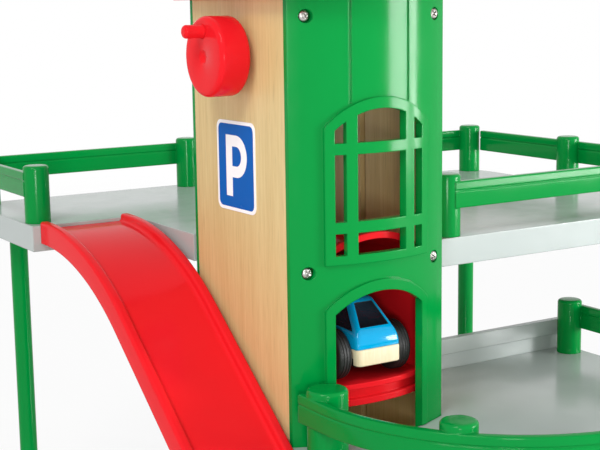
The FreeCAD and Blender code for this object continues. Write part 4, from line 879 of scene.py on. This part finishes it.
# The car's side outline, in mm from its nose and above the floor: two low corners, the tail's and the
# nose's lines up to the belt, and the cabin from its rear to the windscreen's foot
CAR_FOOT = [(1.5, 13), (75, 13)]
CAR_TAIL = [(78, 20), (77, 24)]
CAR_NOSE = [(1.4, 23.5), (0.8, 18.6)]
CAR_CABIN = [(75, 29), (66, 40), (46, 45), (32, 44.8), (18, 42.6), (3.4, 27.4)]
BELT = 28.5
BELT_IN = 1.9
LEAN = 0.31


def car_body_cage(bm, place, half):
    """The car's side outline drawn out to both sides, with a shoulder and a cabin that leans in."""
    outline = CAR_FOOT + CAR_TAIL + CAR_CABIN + CAR_NOSE
    columns = []
    for side in (-1, 1):
        column = []
        for s, z in outline:
            wide = half - (BELT_IN + LEAN * (z - BELT)) * MM if (s, z) in CAR_CABIN else half
            column.append(bm.verts.new(place + Vector((side * wide, s * MM, z * MM))))
        columns.append(column)
    walls(bm, *columns)
    for row in columns:
        bm.faces.new(row[4:10])
        bm.faces.new((row[3], row[4], row[9], row[10]))
        bm.faces.new(row[:4] + row[10:])
    bmesh.ops.recalc_face_normals(bm, faces=bm.faces)


def face_at(bm, middle):
    """The face whose middle is nearest to a point."""
    return min(bm.faces, key=lambda face: (face.calc_center_median_weighted() - middle).length)


def glaze(bm, middle, pillar, seal, depth):
    """Sets a window into the flat face at a point: inside a pillar lie a dark seal and the glass."""
    bmesh.ops.inset_region(bm, faces=[face_at(bm, middle)], thickness=pillar, use_even_offset=True)
    bevel(bm, list(face_at(bm, middle).verts), 1.2 * MM, 3, "VERTICES")
    pane = face_at(bm, middle)
    for item in bmesh.ops.inset_region(bm, faces=[pane], thickness=seal, depth=-depth,
                                       use_even_offset=True)["faces"]:
        item.material_index = 2
    pane.material_index = 1


class GARAGE_OT_make_car_body(bpy.types.Operator):
    """Makes the toy car's rounded body with its windows, and its wood bumper"""
    bl_idname = "garage.make_car_body"
    bl_label = "Make car body"

    def execute(self, context):
        sizes = context.scene.garage_car
        low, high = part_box("car_body")
        bumper_low, bumper_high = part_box("car_bumper")
        middle, half = (low.x + high.x) / 2, (high.x - low.x) / 2
        place = Vector((middle, bumper_low.y, low.z - 13 * MM))
        bm = bmesh.new()
        car_body_cage(bm, place, half)
        outer = [edge for edge in bm.edges if edge.calc_face_angle(0.0) > radians(14)
                 and max(vertex.co.z for vertex in edge.verts) > low.z + 1e-4]
        bevel(bm, outer, 2.3 * MM, 5)
        bmesh.ops.recalc_face_normals(bm, faces=bm.faces)
        panes = [face for face in bm.faces if face.calc_area() > 150e-6
                 and face.calc_center_median().z > place.z + (BELT + 3) * MM and abs(face.normal.z) < 0.93]
        middles = []
        for face in panes:
            if abs(face.normal.x) > 0.9:
                cut = bmesh.ops.bisect_plane(bm, geom=[face, *face.edges, *face.verts], dist=1e-6,
                                             plane_co=place + Vector((0, 47 * MM, 0)), plane_no=(0, 1, 0))
                middles += [(item.calc_center_median_weighted(), 1.0 * MM) for item in cut["geom"]
                            if isinstance(item, bmesh.types.BMFace)]
            else:
                middles.append((face.calc_center_median_weighted(), 0.3 * MM))
        for spot, pillar in middles:
            glaze(bm, spot, pillar, sizes.seal, sizes.window_depth)
        body = solid("car_shell", bm, "car_lacquer", "car_window", "black_moulding")
        seat = bmesh.new()
        shift = Matrix.Translation((middle, bumper_low.y, place.z + 13 * MM))
        room = Matrix.Diagonal((bumper_high.x - bumper_low.x + 1.6 * MM,
                                2 * (bumper_high.y - bumper_low.y) + 0.4 * MM, 10.6 * MM, 1.0))
        bmesh.ops.create_cube(seat, size=1.0, matrix=shift @ room)
        cut_away(body, solid("seat", seat, "car_lacquer", smooth=False))
        sharpen(body, 38.0)
        settle(body, "blue_plastic", "car_body")
        deep, tall, ledge, step = bumper_high.y - bumper_low.y, bumper_high.z - bumper_low.z, 5 * MM, 4 * MM
        side = [(0, 0), (ledge, 0), (ledge, step), (deep, step), (deep, tall), (0, tall)]
        bm = bmesh.new()
        rows = [[bm.verts.new((x, bumper_low.y + y, bumper_low.z + z)) for y, z in side]
                for x in (bumper_low.x, bumper_high.x)]
        walls(bm, *rows)
        for row in rows:
            bm.faces.new(row)
        bmesh.ops.recalc_face_normals(bm, faces=bm.faces)
        ends = [edge for edge in bm.edges
                if all(abs(vertex.co.y - bumper_low.y) < 1e-6 for vertex in edge.verts)
                and abs(edge.verts[0].co.z - edge.verts[1].co.z) > 1e-3]
        bevel(bm, ends, 2.8 * MM, 8, clamp=False)
        rims = [edge for edge in bm.edges if edge.calc_face_angle(0.0) > radians(60)
                and min(vertex.co.y for vertex in edge.verts) < bumper_low.y + 2.9 * MM
                and abs(edge.verts[0].co.z - edge.verts[1].co.z) < 1e-6]
        bevel(bm, rims, 0.9 * MM, 4)
        bumper = solid("bumper_turned", bm, "birch")
        sharpen(bumper, 40.0)
        settle(bumper, "birch_wood", "car_bumper")
        return {"FINISHED"}


class GARAGE_OT_make_car_wheels(bpy.types.Operator):
    """Makes the toy car's ribbed tyres and its dished hubs"""
    bl_idname = "garage.make_car_wheels"
    bl_label = "Make car wheels"

    def execute(self, context):
        sizes = context.scene.garage_car
        for end in ("front", "rear"):
            low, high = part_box(f"car_{end}_tyres")
            radius, middle = (high.z - low.z) / 2, centre(f"car_{end}_tyres")[1:]
            wide, eye = 9.0 * MM, 7.0 * MM
            edge = sizes.tyre_edge
            tread = []
            for line in (0.5, 0.0, -0.5):
                along = wide / 2 + line * (wide - 2 * edge)
                tread += [(radius, along + 0.5 * MM), (radius - 0.45 * MM, along + 0.22 * MM),
                          (radius - 0.45 * MM, along - 0.22 * MM), (radius, along - 0.5 * MM)]
            wall = [(eye, 0.9 * MM), (eye + 0.5 * MM, 0.5 * MM), (radius - 4.6 * MM, 0.25 * MM),
                    (radius - 3.9 * MM, 0.0), (radius - edge, 0.0)]
            shoulder = [(radius - edge + edge * sin(turn), edge - edge * cos(turn))
                        for turn in quarter(6, 1)[:-1]]
            near = wall + shoulder
            ring = near + tread[::-1] + [(own, wide - along) for own, along in reversed(near)]
            tyres, hubs = bmesh.new(), bmesh.new()
            for start, side in ((low.x + wide, -1), (high.x - wide, 1)):
                lathe(tyres, [*ring, ring[0]], (start, *middle), (side, 0, 0), 72)
                face = wide - 0.9 * MM
                lathe(hubs, [(0.0, 0.75 * MM), (eye, 0.75 * MM), (eye, face), (eye - 0.7 * MM, face),
                             (eye - 1.2 * MM, face - 0.5 * MM), (eye - 1.5 * MM, face - 1.6 * MM),
                             (3.2 * MM, face - 1.8 * MM), (2.6 * MM, face - 1.4 * MM),
                             (2.1 * MM, face - 0.3 * MM), (1.2 * MM, face), (0.0, face + 0.1 * MM)],
                      (start, *middle), (side, 0, 0), 48)
            for name, bm, skin, node, slot in (
                    (f"{end}_tread", tyres, "tyre_black", f"car_{end}_tyres", "tyre_rubber"),
                    (f"{end}_hub_discs", hubs, "hub_moulding", f"car_{end}_hubs", "hub_plastic")):
                close(bm)
                piece = solid(name, bm, skin)
                sharpen(piece, 40.0)
                settle(piece, slot, node)
        return {"FINISHED"}


def camera_rays(tree):
    """One for rays from the camera and for reflections and glass, otherwise none."""
    paths = add(tree, "ShaderNodeLightPath").outputs
    seen = add(tree, "ShaderNodeMath", {0: paths["Is Camera Ray"], 1: paths["Is Glossy Ray"]},
               operation="MAXIMUM")
    return add(tree, "ShaderNodeMath", {0: seen.outputs[0], 1: paths["Is Transmission Ray"]},
               operation="MAXIMUM").outputs[0]


def lamp(name, place, aim, width, height, watts):
    """A flat lamp of a given width and height that faces a point."""
    data = bpy.data.lights.new(name, "AREA")
    data.shape, data.size, data.size_y, data.energy = "RECTANGLE", width, height, watts
    source = bpy.data.objects.new(name, data)
    source.location = place
    source.rotation_euler = (Vector(aim) - Vector(place)).to_track_quat("-Z", "Y").to_euler()
    bpy.context.scene.collection.objects.link(source)


class GARAGE_OT_set_stage(bpy.types.Operator):
    """Sets the pale floor, the studio light and the camera at the photograph's viewing angle"""
    bl_idname = "garage.set_stage"
    bl_label = "Set stage"

    def execute(self, context):
        sizes = context.scene.garage_stage
        mesh = bpy.data.meshes.new("studio_floor")
        mesh.from_pydata([(-6, -6, 0), (6, -6, 0), (6, 6, 0), (-6, 6, 0)], [], [(0, 1, 2, 3)])
        material, tree, shader, place = empty_material("studio_white")
        shader.inputs["Base Color"].default_value = (0.9, 0.9, 0.9, 1.0)
        shader.inputs["Roughness"].default_value = 0.9
        shader.inputs["Specular IOR Level"].default_value = 0.1
        glow = add(tree, "ShaderNodeEmission", {"Color": (1, 1, 1, 1), "Strength": 1.0}).outputs[0]
        far = add(tree, "ShaderNodeVectorMath", {0: place}, operation="LENGTH").outputs["Value"]
        fade = spread(tree, far, 0.5, 2.0, 0.85, 1.0)
        share = add(tree, "ShaderNodeMath", {0: camera_rays(tree), 1: fade}, operation="MULTIPLY").outputs[0]
        both = add(tree, "ShaderNodeMixShader", {0: share, 1: shader.outputs[0], 2: glow}).outputs[0]
        tree.links.new(both, tree.nodes["Material Output"].inputs["Surface"])
        link("studio_floor", mesh, material, smooth=False)
        world = bpy.data.worlds.new("studio_world")
        world.use_nodes = True
        context.scene.world = world
        sky = world.node_tree.nodes["Background"]
        sky.inputs["Color"].default_value = (1.0, 1.0, 1.0, 1.0)
        strength = spread(world.node_tree, camera_rays(world.node_tree), 0.0, 1.0, sizes.daylight, 1.0)
        world.node_tree.links.new(strength, sky.inputs["Strength"])
        lamp("key", (-1.5, -0.9, 2.0), (0.0, 0.0, 0.15), 0.9, 0.9, sizes.key)
        lamp("wide_side", (1.13, -1.06, 0.3), (0.01, -0.06, 0.3), 0.37, 0.46, sizes.fill)
        lamp("narrow_side", (1.34, -0.77, 0.3), (0.02, -0.06, 0.3), 0.14, 0.46, sizes.strip)
        lamp("low_left", (-0.9, -1.5, 0.3), (0.0, -0.04, 0.19), 0.3, 0.3, sizes.low)
        data = bpy.data.cameras.new("photo_camera")
        data.lens, data.sensor_width, data.clip_start, data.clip_end = sizes.lens, 36.0, 0.01, 50.0
        camera = bpy.data.objects.new("photo_camera", data)
        turn, down, roll = radians(31.838), radians(9.569), radians(-0.807)
        ahead = Vector((sin(turn) * cos(down), cos(turn) * cos(down), -sin(down)))
        right = Vector((cos(turn), -sin(turn), 0.0))
        up = right.cross(ahead)
        sideways = cos(roll) * right + sin(roll) * up
        upwards = cos(roll) * up - sin(roll) * right
        camera.matrix_world = Matrix(((sideways.x, upwards.x, -ahead.x, -0.3999),
                                      (sideways.y, upwards.y, -ahead.y, -0.6267),
                                      (sideways.z, upwards.z, -ahead.z, 0.3495),
                                      (0.0, 0.0, 0.0, 1.0)))
        context.scene.collection.objects.link(camera)
        context.scene.camera = camera
        context.scene.view_settings.view_transform = "Standard"
        return {"FINISHED"}


MAKING = [GARAGE_OT_dress_shells, GARAGE_OT_make_screws, GARAGE_OT_make_railings, GARAGE_OT_make_columns,
          GARAGE_OT_make_ramp, GARAGE_OT_make_sign, GARAGE_OT_make_winch, GARAGE_OT_make_cord,
          GARAGE_OT_make_car_body, GARAGE_OT_make_car_wheels, GARAGE_OT_set_stage]


class GARAGE_PT_making(bpy.types.Panel):
    """Lists the garage's settings, and the operators that make its pieces"""
    bl_idname = "GARAGE_PT_making"
    bl_label = "Toy parking garage"
    bl_space_type = "VIEW_3D"
    bl_region_type = "UI"
    bl_category = "Garage"

    def draw(self, context):
        for made in MAKING:
            self.layout.operator(made.bl_idname)
        for name, group in SETTINGS.items():
            box = self.layout.box()
            for label in group.__annotations__:
                box.prop(getattr(context.scene, name), label)


def register():
    for group in (*SETTINGS.values(), *MAKING, GARAGE_PT_making):
        bpy.utils.register_class(group)
    for name, group in SETTINGS.items():
        setattr(bpy.types.Scene, name, PointerProperty(type=group))


def unregister():
    for name in SETTINGS:
        delattr(bpy.types.Scene, name)
    for group in reversed((*SETTINGS.values(), *MAKING, GARAGE_PT_making)):
        bpy.utils.unregister_class(group)


def main():
    register()
    for made in MAKING:
        group, name = made.bl_idname.split(".")
        getattr(getattr(bpy.ops, group), name)()


if __name__ == "__main__":
    main()
